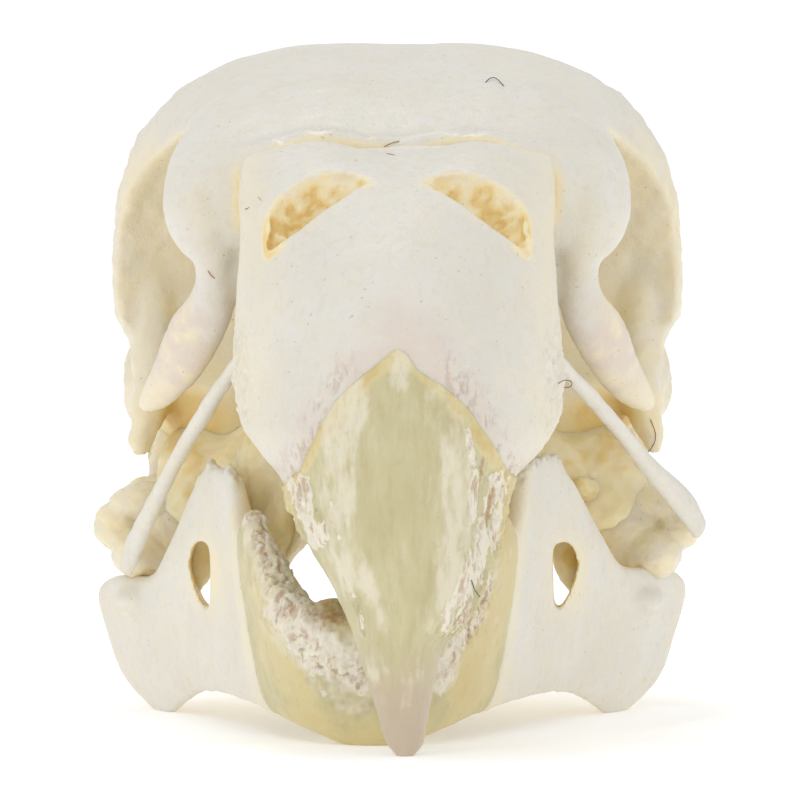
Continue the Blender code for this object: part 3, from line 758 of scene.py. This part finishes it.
def whole_jaw():
    chin = ellipsoid("chin", (0, -8.3, 1.0), (1.9, 2.0, 0.85))
    socket = ellipsoid("socket", (8.4, 4.4, 3.9), (1.0, 1.7, 0.6), (0, 10, 0))
    jaw = fused("jaw", [jaw_body(), chin, *both_sides(socket)], SMALL_GRAIN * 1.3, 3)
    cut_both(jaw, jaw_window())
    pivot = Matrix.Translation((0, JAW_PIVOT_Y, 0))
    slip = Matrix.Translation((JAW_SHIFT, 0, 0))
    jaw.data.transform(slip @ pivot @ Matrix.Rotation(-JAW_YAW, 4, "Z") @ pivot.inverted())
    return jaw


def chin_core_section(section, angle):
    """A level section of the bone inside the lower horn: z, half width and front."""
    z, half_width, front = section
    reach = 12.0 if math.sin(angle) > 0 else JAW_HORN_Y - front
    x = (half_width if math.sin(angle) < 0 else 15.0) * math.cos(angle)
    return Vector((x + CHIN_X, JAW_HORN_Y + reach * math.sin(angle), z))


def chin_core(grow):
    keys = [
        (-1.0, 2.2, -9.4), (0.4, 2.5, -9.9), (2.0, 2.95, -10.3), (4.0, 3.35, -10.6), (6.0, 3.7, -10.3),
        (9.0, 4.2, -10.0),
    ]
    grown = [(z, half + grow, front - grow) for z, half, front in keys]
    return loft("chin_core", curve_through(grown, 2), 48, chin_core_section)


def jaw_relief(place, normal):
    lift = 0.015 * grainy(place, 1.4) + 0.008 * grainy(place, 0.4, 2)
    coronoid = fade(place.z, 7.9, 8.5) * fade(normal.z, 0.1, 0.7)
    return lift + coronoid * 0.22 * grainy(place, 0.45)


def jaw_bone():
    horn_side = block("horn_side", (-20, -30, -5), (20, JAW_HORN_Y + SEAM / 2, 20))
    cut(horn_side, chin_core(-SEAM / 2))
    bone = fused("jaw_bone", [cut(whole_jaw(), horn_side)], SMALL_GRAIN * 1.07, 2)
    keep_largest(bone)
    sculpt(bone, jaw_relief)
    return cut(bone, floor_block())


def jaw_stain(place, normal):
    inner = 0.5 * fade(-normal.x * math.copysign(1, place.x), 0.1, 0.7)
    window = 0.5 * front_bump(place, math.copysign(6.0, place.x) - 0.3, 5.1, 0.62, 1.25)
    foot = 0.4 * fade(0.55 - place.z, 0, 0.6) * fade(0.3 + normal.y, -0.2, 0.5)
    front = 0.25 * fade(-place.y, 6.0, 7.4)
    return 0.14 + inner + window + foot + front + 0.08 * grainy(place, 1.8)


CHALKY_HORN = (
    ([(-4.5, 7.3), (-4.15, 6.0), (-3.75, 4.9), (-3.35, 4.0)], 0.95, 0.78),
    ([(-3.5, 4.3), (-2.75, 3.4), (-1.95, 2.8), (-1.0, 2.4)], 1.25, 1.0),
    ([(-2.6, 2.2), (-1.8, 1.5), (-1.1, 1.3)], 0.6, 0.5),
    ([(3.0, 6.6), (2.9, 5.4), (2.4, 4.2), (1.8, 3.2), (1.4, 2.0)], 0.6, 0.85),
)


def crusted(place, normal):
    crust = laid_over(place, CHALKY_HORN) + 0.35 * grainy(place, 0.8) + 0.35 * grainy(place, 0.25)
    return fade(crust, 0.35, 1.0)


def lower_film(place, normal):
    return fade(laid_over(place, CHALKY_HORN) + 0.35 * grainy(place, 0.9), 0.0, 0.8)


def lower_rim(place, normal):
    """Warm, clear horn along the bottom and beside the split strip."""
    strip = 0.3 * stroke(place, [(-4.4, 6.5), (-3.9, 3.0), (-2.9, 1.0)], 0.8)
    right = 0.5 * stroke(place, [(3.6, 7.0), (3.0, 4.2), (2.2, 1.8)], 1.1)
    return 0.16 + strip + right + 0.3 * fade(1.5 - place.z, 0, 1.3) + 0.2 * grainy(place, 0.9)


def lower_brown(place, normal):
    """Brown pits and hollows in the crust and the bare hump beside the window."""
    hump = 0.75 * front_bump(place, -2.1, 4.3, 0.75, 0.55) * (1 + 0.6 * grainy(place, 0.35))
    strands = noise.fractal(Vector((place.x / 0.25, place.y / 0.3, place.z / 0.9)), 0.6, 2.2, 4)
    strip = 0.6 * stroke(place, [(-4.4, 7.3), (-4.05, 5.8), (-3.6, 4.6)], 0.8) * fade(strands, -0.1, 0.3)
    pits = 0.6 * stroke(place, [(-3.1, 3.4), (-2.3, 2.7), (-1.2, 2.4)], 0.75)
    pits *= fade(noise.fractal(place / 0.3, 0.6, 2.2, 4), 0.0, 0.45)
    right = 0.8 * stroke(place, [(2.75, 4.5), (2.35, 3.7), (1.9, 3.2)], 0.42) * fade(strands, -0.3, 0.3)
    return max(hump, strip, pits, right)


def lower_relief(place, normal):
    worn = fade(laid_over(place, CHALKY_HORN), 0.15, 0.5)
    crust = noise.fractal(Vector((place.x / 0.4, place.y / 0.4, place.z / 0.6)), 0.6, 2.2, 5)
    lift = 0.02 * grainy(place, 1.0) + worn * 0.13 * crust + 0.05 * crusted(place, normal)
    return lift - 0.12 * lower_brown(place, normal)


def chin_horn():
    horn = cut(whole_jaw(), chin_core(SEAM / 2))
    cut(horn, block("behind", (-20, JAW_HORN_Y - SEAM / 2, -5), (20, 30, 20)))
    hump = ellipsoid("hump", (-2.2, -10.35, 4.15), (0.85, 0.75, 0.62), (0, -10, 0))
    horn = keep_largest(fused("chin_horn", [horn, hump], SMALL_GRAIN, 1))
    sculpt(horn, lower_relief)
    return cut(horn, floor_block())


# Small bones
def on_side(bone, side):
    """Mirrors a bone made for the right side where it belongs to the left."""
    if side < 0:
        bone.data.transform(Matrix.Diagonal((-1, 1, 1, 1)))
        bone.data.flip_normals()
    return bone


def quadrate(name, side):
    pieces = [
        limb("body", [
            (9.9, 4.9, 6.2, 0.5, 0.6), (9.3, 4.9, 6.3, 0.75, 1.25), (8.3, 4.9, 6.5, 0.8, 1.6),
            (7.3, 4.6, 7.0, 0.65, 1.25), (6.5, 4.2, 7.5, 0.4, 0.7),
        ]),
        limb("head", [
            (7.9, 5.0, 6.8, 0.9, 0.9), (7.75, 5.9, 8.2, 0.8, 0.7), (7.6, 6.8, 9.4, 0.7, 0.7),
            (7.6, 7.3, 10.2, 0.6, 0.6),
        ]),
        limb("orbital", [
            (7.0, 4.3, 7.1, 0.6, 0.8), (6.5, 3.2, 7.6, 0.35, 0.5), (6.1, 2.4, 7.85, 0.22, 0.25),
        ]),
        ellipsoid("foot", (8.75, 4.4, 5.4), (1.0, 1.4, 0.9), (0, 6, 0)),
        ellipsoid("cup", (9.55, 4.7, 6.35), (0.85, 0.9, 0.85)),
        ellipsoid("shelf", (8.5, 4.3, 7.2), (1.35, 0.9, 0.62), (0, 4, 0)),
        ellipsoid("web", (7.75, 4.35, 6.15), (1.25, 0.8, 1.4), (0, -10, 0)),
    ]
    return sculpt(on_side(fused(name, pieces, SMALL_GRAIN, 7), side), quadrate_relief)


def quadrate_wet(place, normal):
    return 0.45 + twin_bumps(place, 7.8, 7.5, 0.8, 0.9)


def quadrate_stain(place, normal):
    process = 0.4 * fade(7.3 - abs(place.x), 0, 0.8)
    return 0.42 + process + 0.25 * grainy(place, 0.9)


def quadrate_relief(place, normal):
    ridge = noise.fractal(Vector((place.x / 0.9, place.y / 1.4, place.z / 0.55)), 0.7, 2.1, 3)
    return 0.07 * ridge + 0.02 * grainy(place, 0.4)


def rod(name, keys):
    return limb(name, keys, sides=24, steps=14)


def jugals():
    """The cheek rods; the left one has dropped a little at its back end."""
    left = rod("jugal_left_bone", [
        (-5.05, -7.3, 12.45, 0.2, 0.2), (-5.7, -5.8, 11.5, 0.24, 0.24),
        (-6.35, -4.15, 10.5, JUGAL_RADIUS, JUGAL_RADIUS),
        (-7.35, -1.6, 8.85, 0.25, 0.25), (-8.1, 0.4, 7.4, 0.26, 0.3), (-8.8, 2.0, 6.0, 0.28, 0.4),
        (-9.2, 2.6, 4.95, 0.22, 0.32),
    ])
    right = rod("jugal_right_bone", [
        (5.0, -7.4, 12.6, 0.2, 0.2), (5.7, -5.9, 11.75, 0.24, 0.24),
        (6.45, -4.4, 10.95, JUGAL_RADIUS, JUGAL_RADIUS),
        (7.5, -2.4, 9.75, 0.25, 0.25), (8.4, 0.0, 8.6, 0.28, 0.34), (9.7, 2.4, 7.2, 0.3, 0.5),
        (10.3, 3.4, 6.3, 0.22, 0.42),
    ])
    for piece in (left, right):
        sculpt(piece, uneven(0.025, 0.8))
    return left, right


def palatine(name, side):
    plate = limb("plate", [
        (2.2, -7.0, 9.3, 0.3, 0.5), (2.7, -5.9, 8.5, 0.3, 0.9), (3.3, -4.0, 7.3, 0.28, 1.8),
        (3.5, -2.0, 6.7, 0.28, 2.0), (3.3, 0.0, 6.8, 0.28, 1.5), (2.6, 1.6, 7.0, 0.28, 0.6),
        (2.3, 2.2, 7.05, 0.2, 0.3),
    ], flat_towards=(-0.25, 0, 1), power=2.4)
    return sculpt(on_side(fused(name, [plate], SMALL_GRAIN, 2), side), uneven(0.03, 0.6))


def pterygoid(name, side):
    return sculpt(rod(name, [
        (side * 2.3, 2.7, 7.0, 0.25, 0.25), (side * 3.2, 3.0, 6.85, 0.3, 0.32),
        (side * 4.6, 3.5, 6.55, 0.3, 0.34), (side * 5.6, 3.8, 6.4, 0.3, 0.36),
    ]), uneven(0.02, 0.6))


def tissue(name, lumps):
    """Dried flesh that the cleaning left, between the palate and the jaw."""
    pieces = [ellipsoid("lump", centre, radii, turn) for centre, radii, turn in lumps]
    return sculpt(
        fused(name, pieces, SMALL_GRAIN * 1.2, 8),
        lambda place, normal: 0.14 * grainy(place, 1.3) + 0.02 * noise.noise(place / 0.35),
    )


def tissue_glow(place, normal):
    """Deeper ochre in patches and low down."""
    return 0.2 * fade(8.0 - place.z, 0, 3) + 0.55 * fade(grainy(place, 1.3), 0.05, 0.55)


# Each lump is its centre, its radii and its turn in degrees.
TISSUES = {
    "palate_tissue_left": [
        ((-4.25, -2.6, 8.4), (1.2, 2.2, 2.3), (-8, 10, 0)),
        ((-5.8, 4.2, 8.1), (2.5, 0.7, 2.5), (-30, 0, 0)),
        ((-4.0, 3.4, 8.0), (2.4, 0.9, 2.4), (-30, 0, 0)),
        ((-3.6, -4.2, 7.4), (0.8, 1.6, 2.0), (0, 12, 0)),
    ],
    "palate_tissue_right": [
        ((4.0, -2.6, 8.6), (0.95, 2.2, 2.2), (-8, -10, 0)),
        ((6.0, 4.2, 8.2), (2.6, 0.7, 2.5), (-30, 0, 0)),
        ((4.0, 3.4, 8.0), (2.4, 0.9, 2.4), (-30, 0, 0)),
        ((3.5, -4.2, 8.0), (0.7, 1.4, 1.8), (0, -8, 0)),
    ],
    "jaw_tissue_left": [((-6.6, 0.35, 5.4), (0.55, 0.6, 1.3), (0, 14, 20))],
    "jaw_tissue_right": [((5.85, 0.35, 5.4), (0.6, 0.6, 1.3), (0, -14, -20))],
}


def seen_spot(tree, x, z):
    """The point of the skull that the camera side shows at x and z."""
    return tree.ray_cast(Vector((x, -60, z)), Vector((0, 1, 0)))[0]


FIBRE_REACH = 0.3         # a fibre leaves the bone rather than dip or rise further than this
# Each fibre is its name, colour, radius in mm and line through (x, z) seen from the front.
FIBRES = (
    ("fibre_blue", "#3E4754", 0.015, [(-4.9, 17.25), (-4.7, 17.35), (-4.48, 17.65), (-4.3, 17.95)]),
    ("fibre_pale", "#A88F60", 0.01, [(-4.48, 17.65), (-4.3, 17.48), (-4.05, 17.45)]),
    ("fibre_brow_a", "#B98642", 0.015, [(-0.42, 19.27), (-0.2, 19.38), (0.07, 19.46)]),
    ("fibre_brow_b", "#B98642", 0.015, [(-0.33, 19.05), (-0.1, 19.0), (0.1, 18.9)]),
    ("fibre_crown", "#343B45", 0.015, [(2.95, 21.42), (3.1, 21.55), (3.3, 21.55), (3.55, 21.3)]),
    ("fibre_cheek", "#7A4B2E", 0.014, [(5.2, 11.65), (5.4, 11.75), (5.62, 11.7), (5.6, 11.55), (5.4, 11.5)]),
    ("fibre_temple", "#B07036", 0.015, [(8.63, 10.0), (8.8, 9.55), (8.77, 9.2), (8.55, 8.85)]),
    ("fibre_horn", "#4A4640", 0.015, [(2.35, 5.6), (2.45, 5.3), (2.62, 5.05)]),
    ("fibre_lobe", "#9A6B3F", 0.015, [(-6.2, 15.2), (-6.1, 15.05), (-5.98, 14.95)]),
)


def fibre(name, tree, line, radius):
    """A hair-thin fibre that lies on the bone, through points (x, z)."""
    points = [seen_spot(tree, x, z) + Vector((0, -2.5 * radius, 0)) for x, z in line]
    for point in points:
        point.y = min(max(point.y, points[0].y - FIBRE_REACH), points[0].y + FIBRE_REACH)
    keys = [(*point, radius, radius) for point in points]
    return limb(name, keys, sides=6, steps=4, flat_towards=(0.1, 1, 0.2))


# Materials
def linear(code):
    """An sRGB hex colour as a linear one."""
    parts = [int(code[i:i + 2], 16) / 255 for i in (1, 3, 5)]
    return (*[c / 12.92 if c <= 0.04045 else ((c + 0.055) / 1.055) ** 2.4 for c in parts], 1.0)


def add(tree, kind, settings=None, inputs=None, output=0):
    """Adds a node and gives one of its outputs; inputs holds values, or the outputs that feed them."""
    made = tree.nodes.new(kind)
    for name, value in (settings or {}).items():
        setattr(made, name, value)
    for name, value in (inputs or {}).items():
        if isinstance(value, bpy.types.NodeSocket):
            tree.links.new(value, made.inputs[name])
        else:
            made.inputs[name].default_value = value
    return made.outputs[output]


def start_material(name, ior, scatter_mm=0.0, scatter=0.0):
    """A named material with its index of refraction and how far light wanders inside it."""
    made = bpy.data.materials.new(name)
    made.use_nodes = True
    shader = made.node_tree.nodes["Principled BSDF"]
    shader.inputs["IOR"].default_value = ior
    shader.inputs["Subsurface Weight"].default_value = scatter
    shader.inputs["Subsurface Radius"].default_value = (1.0, 0.72, 0.4)
    shader.inputs["Subsurface Scale"].default_value = scatter_mm * MM
    return made, made.node_tree, shader


def grains_of(tree, rows):
    """Noises by name. Each row is a name, the features' size in mm on X, Y and Z, detail and a seat."""
    place = add(tree, "ShaderNodeTexCoord", output="Object")
    grains = {}
    for name, sizes, detail, seat in rows:
        placed = add(tree, "ShaderNodeMapping", None, {
            "Vector": place, "Scale": [1 / (size * MM) for size in sizes], "Location": seat,
        })
        grains[name] = add(tree, "ShaderNodeTexNoise", None, {
            "Vector": placed, "Scale": 1.0, "Detail": detail, "Roughness": 0.58,
        })
    return grains


def washed(tree, drives, base, washes):
    """Lays washes over a base. Each is its drive, start, full point, strength and colour."""
    tone = linear(base)
    for name, start, full, strength, code in washes:
        amount = add(tree, "ShaderNodeMapRange", {"interpolation_type": "SMOOTHSTEP"}, {
            "Value": drives[name], "From Min": start, "From Max": full, "To Max": strength,
        })
        inputs = {0: amount, 6: tone, 7: linear(code)}
        tone = add(tree, "ShaderNodeMix", {"data_type": "RGBA"}, inputs, 2)
    return tone


def finish(tree, shader, drives, tone, roughness, heights):
    """Links colour, roughness and a stack of bumps, each a drive and its depth in millimetres."""
    tree.links.new(tone, shader.inputs["Base Color"])
    name, start, full, low, high = roughness
    gloss = add(tree, "ShaderNodeMapRange", None, {
        "Value": drives[name], "From Min": start, "From Max": full, "To Min": low, "To Max": high,
    })
    tree.links.new(gloss, shader.inputs["Roughness"])
    normal = None
    for name, depth_mm in heights:
        inputs = {"Height": drives[name], "Distance": depth_mm * MM, "Strength": 1.0}
        if normal:
            inputs["Normal"] = normal
        normal = add(tree, "ShaderNodeBump", None, inputs)
    tree.links.new(normal, shader.inputs["Normal"])


def bleached_bone():
    """Bone whitened with peroxide: chalky white, waxy where it is thin, yellow where it is still fatty, with
    painted shade that draws its hollows yellower and deeper ochre.
    """
    made, tree, shader = start_material("peroxide_bleached_bone", 1.5, 0.55, 0.35)
    drives = grains_of(tree, (
        ("clouds", (3.2, 3.2, 3.2), 4.0, (0, 0, 0)),
        ("mottle", (0.8, 0.8, 0.8), 5.0, (3, 1, 2)),
        ("flecks", (0.3, 0.3, 0.4), 4.0, (5, 8, 2)),
        ("specks", (0.14, 0.14, 0.14), 0.0, (7, 5, 1)),
        ("gloss", (2.1, 2.1, 2.1), 2.0, (2, 9, 4)),
        ("pores", (0.2, 0.2, 0.24), 1.0, (1, 2, 8)),
        ("fine", (0.11, 0.11, 0.11), 3.0, (0, 0, 0)),
    ))
    for name in ("stain", "hollow", "blush", "wet", "pits"):
        drives[name] = add(tree, "ShaderNodeAttribute", {"attribute_name": name}, output="Fac")
    # The first sum adds painted shade to the stain: a share of how closed in each point is.
    sums = (("stain_and_hollow_shade", "hollow", 0.3, "stain"), ("dull", "wet", -0.6, "gloss"))
    for name, first, weight, second in sums:
        inputs = {0: drives[first], 1: weight, 2: drives[second]}
        drives[name] = add(tree, "ShaderNodeMath", {"operation": "MULTIPLY_ADD"}, inputs)
    tone = washed(tree, drives, "#E1DED6", (
        ("clouds", 0.35, 0.68, 1.0, "#DDD9CE"),
        ("mottle", 0.42, 0.7, 0.35, "#E4DBC3"),
        ("flecks", 0.5, 0.68, 0.4, "#D8D0C0"),
        # These three washes paint the stain and the painted shade of the hollows, yellow deepening to ochre.
        ("stain_and_hollow_shade", 0.02, 0.75, 1.0, "#F0E3BE"),
        ("stain_and_hollow_shade", 0.6, 1.2, 1.0, "#EACF88"),
        ("stain_and_hollow_shade", 0.95, 1.3, 0.75, "#D29E45"),
        ("blush", 0.0, 1.0, 0.8, "#DCCEC3"),
        # This tan wash marks the dimples and rough bone, and also paints shade under each nostril's brow.
        ("pits", 0.1, 0.9, 0.5, "#CDB8A2"),
        ("specks", 0.8, 0.86, 0.4, "#B59468"),
    ))
    heights = (("fine", 0.018), ("pores", 0.018))
    finish(tree, shader, drives, tone, ("dull", 0.0, 0.62, 0.2, 0.5), heights)
    return made


def beak_horn():
    """Keratin in layers: olive yellow and waxy where whole, white and fibrous where split."""
    made, tree, shader = start_material("beak_keratin", 1.54, 0.5, 0.3)
    drives = grains_of(tree, (
        ("strands", (0.3, 0.3, 1.9), 4.0, (0, 0, 0)),
        ("clouds", (1.5, 1.5, 2.2), 3.0, (4, 2, 6)),
        ("cracks", (0.4, 0.4, 1.3), 5.0, (9, 9, 1)),
        ("crumbs", (0.28, 0.28, 0.34), 4.0, (1, 6, 3)),
        ("fine", (0.12, 0.12, 0.4), 3.0, (0, 0, 0)),
    ))
    for name in ("flake", "film", "rim", "brown", "tip"):
        drives[name] = add(tree, "ShaderNodeAttribute", {"attribute_name": name}, output="Fac")
    inputs = {0: drives["strands"], 1: 0.9, 2: drives["flake"]}
    drives["frayed"] = add(tree, "ShaderNodeMath", {"operation": "MULTIPLY_ADD"}, inputs)
    inputs = {0: drives["cracks"], 1: drives["frayed"]}
    drives["torn"] = add(tree, "ShaderNodeMath", {"operation": "MULTIPLY"}, inputs)
    tone = washed(tree, drives, "#C4BB90", (
        ("clouds", 0.36, 0.64, 1.0, "#CCC49C"),
        ("strands", 0.4, 0.72, 0.5, "#B9AD80"),
        ("tip", 0.0, 1.0, 0.9, "#C4B29F"),
        ("rim", 0.05, 0.5, 0.75, "#DACA94"),
        ("rim", 0.45, 1.0, 0.7, "#D0B474"),
        ("film", 0.0, 1.0, 0.75, "#E6DFCB"),
        ("frayed", 0.85, 1.2, 0.85, "#EAE4D6"),
        ("crumbs", 0.58, 0.7, 0.3, "#C2A77C"),
        ("torn", 0.7, 0.95, 0.6, "#A98155"),
        ("brown", 0.15, 0.85, 0.8, "#A67B48"),
    ))
    heights = (("strands", 0.03), ("fine", 0.02))
    finish(tree, shader, drives, tone, ("frayed", 0.6, 1.2, 0.36, 0.68), heights)
    return made


def dried_flesh():
    """Flesh dried to a glossy ochre skin that lets light through."""
    made, tree, shader = start_material("dried_flesh", 1.45, 0.7, 0.5)
    drives = grains_of(tree, (
        ("clouds", (0.75, 0.75, 0.75), 3.0, (2, 2, 2)),
        ("fine", (0.2, 0.2, 0.2), 2.0, (0, 0, 0)),
    ))
    drives["glow"] = add(tree, "ShaderNodeAttribute", {"attribute_name": "glow"}, output="Fac")
    tone = washed(tree, drives, "#F3E7C2", (
        ("clouds", 0.4, 0.66, 0.6, "#ECDAA6"),
        ("glow", 0.1, 0.9, 1.0, "#E8CB80"),
    ))
    finish(tree, shader, drives, tone, ("clouds", 0.3, 0.7, 0.28, 0.5), (("fine", 0.02),))
    return made


def hair_fibre(name, code):
    """A stray hair, duller along part of its length."""
    made, tree, shader = start_material(name, 1.5)
    drives = grains_of(tree, (("length", (0.4, 0.4, 0.4), 2.0, (0, 0, 0)),))
    tone = washed(tree, drives, code, (("length", 0.4, 0.7, 0.6, "#7D6A52"),))
    finish(tree, shader, drives, tone, ("length", 0.3, 0.7, 0.5, 0.7), (("length", 0.01),))
    return made


def opal_table():
    """Opal acrylic, matted and lit from below until only the skull's own shade shows on it."""
    made, tree, shader = start_material("opal_acrylic", 1.45)
    shader.inputs["Emission Color"].default_value = (1, 1, 1, 1)
    shader.inputs["Emission Strength"].default_value = TABLE_GLOW
    drives = grains_of(tree, (("tooth", (40.0, 40.0, 40.0), 2.0, (0, 0, 0)),))
    tone = washed(tree, drives, "#FCFCFC", (("tooth", 0.3, 0.7, 1.0, "#FBFBFB"),))
    finish(tree, shader, drives, tone, ("tooth", 0.0, 1.0, 0.9, 0.95), (("tooth", 0.02),))
    return made


# Dressing
def search_tree(objects):
    """One search tree of the objects' surfaces, in millimetres."""
    bm = bmesh.new()
    for obj in objects:
        bm.from_mesh(obj.data)
    bm.transform(Matrix.Diagonal((1 / MM,) * 3 + (1,)))
    tree = bvhtree.BVHTree.FromBMesh(bm)
    bm.free()
    return tree


GOLDEN_ANGLE = 2.399963   # in radians
HOLLOW_REACH = 5.0        # bone within this many millimetres closes a point in
HOLLOW_START = 0.35       # the search starts this far off the surface


def sky_rays(count):
    """Directions spread evenly over a dome round +Z."""
    rays = []
    for i in range(count):
        z = 0.18 + 0.8 * (i + 0.5) / count
        turn = i * GOLDEN_ANGLE
        flat = math.sqrt(1 - z * z)
        rays.append(Vector((flat * math.cos(turn), flat * math.sin(turn), z)))
    return rays


RAYS = sky_rays(12)
SKY = search_tree(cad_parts.values())


def hollow(place, normal):
    """How closed in a point is, painted into the bone as shade: the share of rays from it that meet bone
    within a few millimetres.
    """
    start = place + normal * HOLLOW_START
    turn = normal.to_track_quat("Z", "Y")
    met = 0.0
    for ray in RAYS:
        distance = SKY.ray_cast(start, turn @ ray, HOLLOW_REACH)[3]
        if distance is not None:
            met += 1 - 0.5 * distance / HOLLOW_REACH
    return met / len(RAYS)


def dress(obj, material, node_name=None, slot="bleached_bone", **shades):
    """Paints a piece, scales it to metres, gives it its finish and puts it in its solid's place."""
    for name, shade in shades.items():
        paint(obj, name, shade)
    obj.data.transform(Matrix.Diagonal((MM, MM, MM, 1)))
    obj.data.shade_smooth()
    obj.data.materials.clear()
    obj.data.materials.append(material)
    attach(obj, "root")
    if node_name:
        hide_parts(node_name)
    return obj


def constant(value):
    return lambda place, normal: value


def bones():
    bone, horn, flesh = bleached_bone(), beak_horn(), dried_flesh()
    front = [
        dress(skull(), bone, "cranium", stain=skull_stain, hollow=hollow, blush=skull_blush,
              wet=skull_wet),
        dress(bill_bone(), bone, "upper_bill", stain=bill_stain, hollow=hollow, blush=blush,
              pits=pits_and_brow_shade),
        dress(bill_horn(), horn, "upper_sheath", "horn", flake=flaked, film=horn_film, rim=horn_rim,
              brown=horn_brown, tip=horn_tip),
    ]
    dress(jaw_bone(), bone, "mandible", stain=jaw_stain, hollow=hollow)
    dress(chin_horn(), horn, "lower_sheath", "horn", flake=crusted, film=lower_film, rim=lower_rim,
          brown=lower_brown)
    for piece, name in zip(jugals(), ("jugal_left", "jugal_right")):
        dress(piece, bone, name, stain=constant(0.02))
    paired = (
        ("quadrate", quadrate, {"stain": quadrate_stain, "hollow": hollow, "wet": quadrate_wet}),
        ("palatine", palatine, {"stain": constant(0.6), "hollow": hollow}),
        ("pterygoid", pterygoid, {"stain": constant(0.5)}),
    )
    for word, side in (("left", -1), ("right", 1)):
        for name, make, shades in paired:
            dress(make(f"{name}_{word}_bone", side), bone, f"{name}_{word}", **shades)
    for name, lumps in TISSUES.items():
        dress(tissue(name, lumps), flesh, glow=tissue_glow)
    seen = search_tree(front)
    for name, code, radius, line in FIBRES:
        dress(fibre(name, seen, line, radius), hair_fibre(name + "_hair", code))


# Studio
TENT_LIGHT = 0.80        # the white tent round the table, as it lights the skull
BACKDROP_LIGHT = 1.06    # and as the camera sees it
TABLE_GLOW = 0.235       # the table is lit from below too
FLOOR_HALF = 6.0
LAMP_AIM = (0, 0, 0.012)

# Each lamp is its name, its place and size in metres and its power in watts.
LAMPS = (
    ("left_panel", (-0.33, -0.26, 0.10), 0.20, 0.10),
    ("right_panel", (0.33, -0.26, 0.10), 0.20, 0.08),
    ("small_lamp", (-0.12, -0.28, 0.30), 0.02, 0.09),
    ("top_lamp", (-0.04, 0.08, 0.38), 0.05, 0.17),
)


def studio():
    bm = bmesh.new()
    bmesh.ops.create_grid(bm, x_segments=2, y_segments=2, size=FLOOR_HALF)
    floor = surface(bm, "studio_floor")
    floor.data.materials.append(opal_table())
    scene = bpy.context.scene
    world = bpy.data.worlds.new("studio")
    scene.world = world
    world.use_nodes = True
    background = world.node_tree.nodes["Background"]
    background.inputs["Color"].default_value = (1, 1, 1, 1)
    seen = add(world.node_tree, "ShaderNodeLightPath", output="Is Camera Ray")
    strength = add(world.node_tree, "ShaderNodeMapRange", None, {
        "Value": seen, "To Min": TENT_LIGHT, "To Max": BACKDROP_LIGHT,
    })
    world.node_tree.links.new(strength, background.inputs["Strength"])
    for name, spot, size, power in LAMPS:
        lamp = bpy.data.objects.new(name, bpy.data.lights.new(name, "AREA"))
        lamp.data.shape = "SQUARE"
        lamp.data.size = size
        lamp.data.energy = power
        lamp.location = spot
        lamp.rotation_euler = (Vector(LAMP_AIM) - Vector(spot)).to_track_quat("-Z", "Y").to_euler()
        scene.collection.objects.link(lamp)
    scene.view_settings.view_transform = "Standard"


# The photograph in pixels: its width, its lens and how far its middle lies from straight ahead.
PHOTO_PIXELS = 800
LENS_PIXELS = 7331.0
LOOKS_DOWN = 245
LOOKS_RIGHT = 3
SENSOR_MM = 36
CAMERA_PLACE = (0, -0.246, 0.019)


def camera():
    """A long lens at the height of the bill's hinge, tilted down a little."""
    made = bpy.data.objects.new("camera", bpy.data.cameras.new("camera"))
    made.data.sensor_width = SENSOR_MM
    made.data.lens = LENS_PIXELS / PHOTO_PIXELS * SENSOR_MM
    made.location = CAMERA_PLACE
    tilt = math.atan(LOOKS_DOWN / LENS_PIXELS)
    yaw = math.atan(LOOKS_RIGHT / LENS_PIXELS)
    made.rotation_euler = (math.radians(90) - tilt, 0, -yaw)
    made.data.clip_start = 0.01
    made.data.clip_end = 20
    bpy.context.scene.collection.objects.link(made)
    bpy.context.scene.camera = made


camera()
bones()
studio()
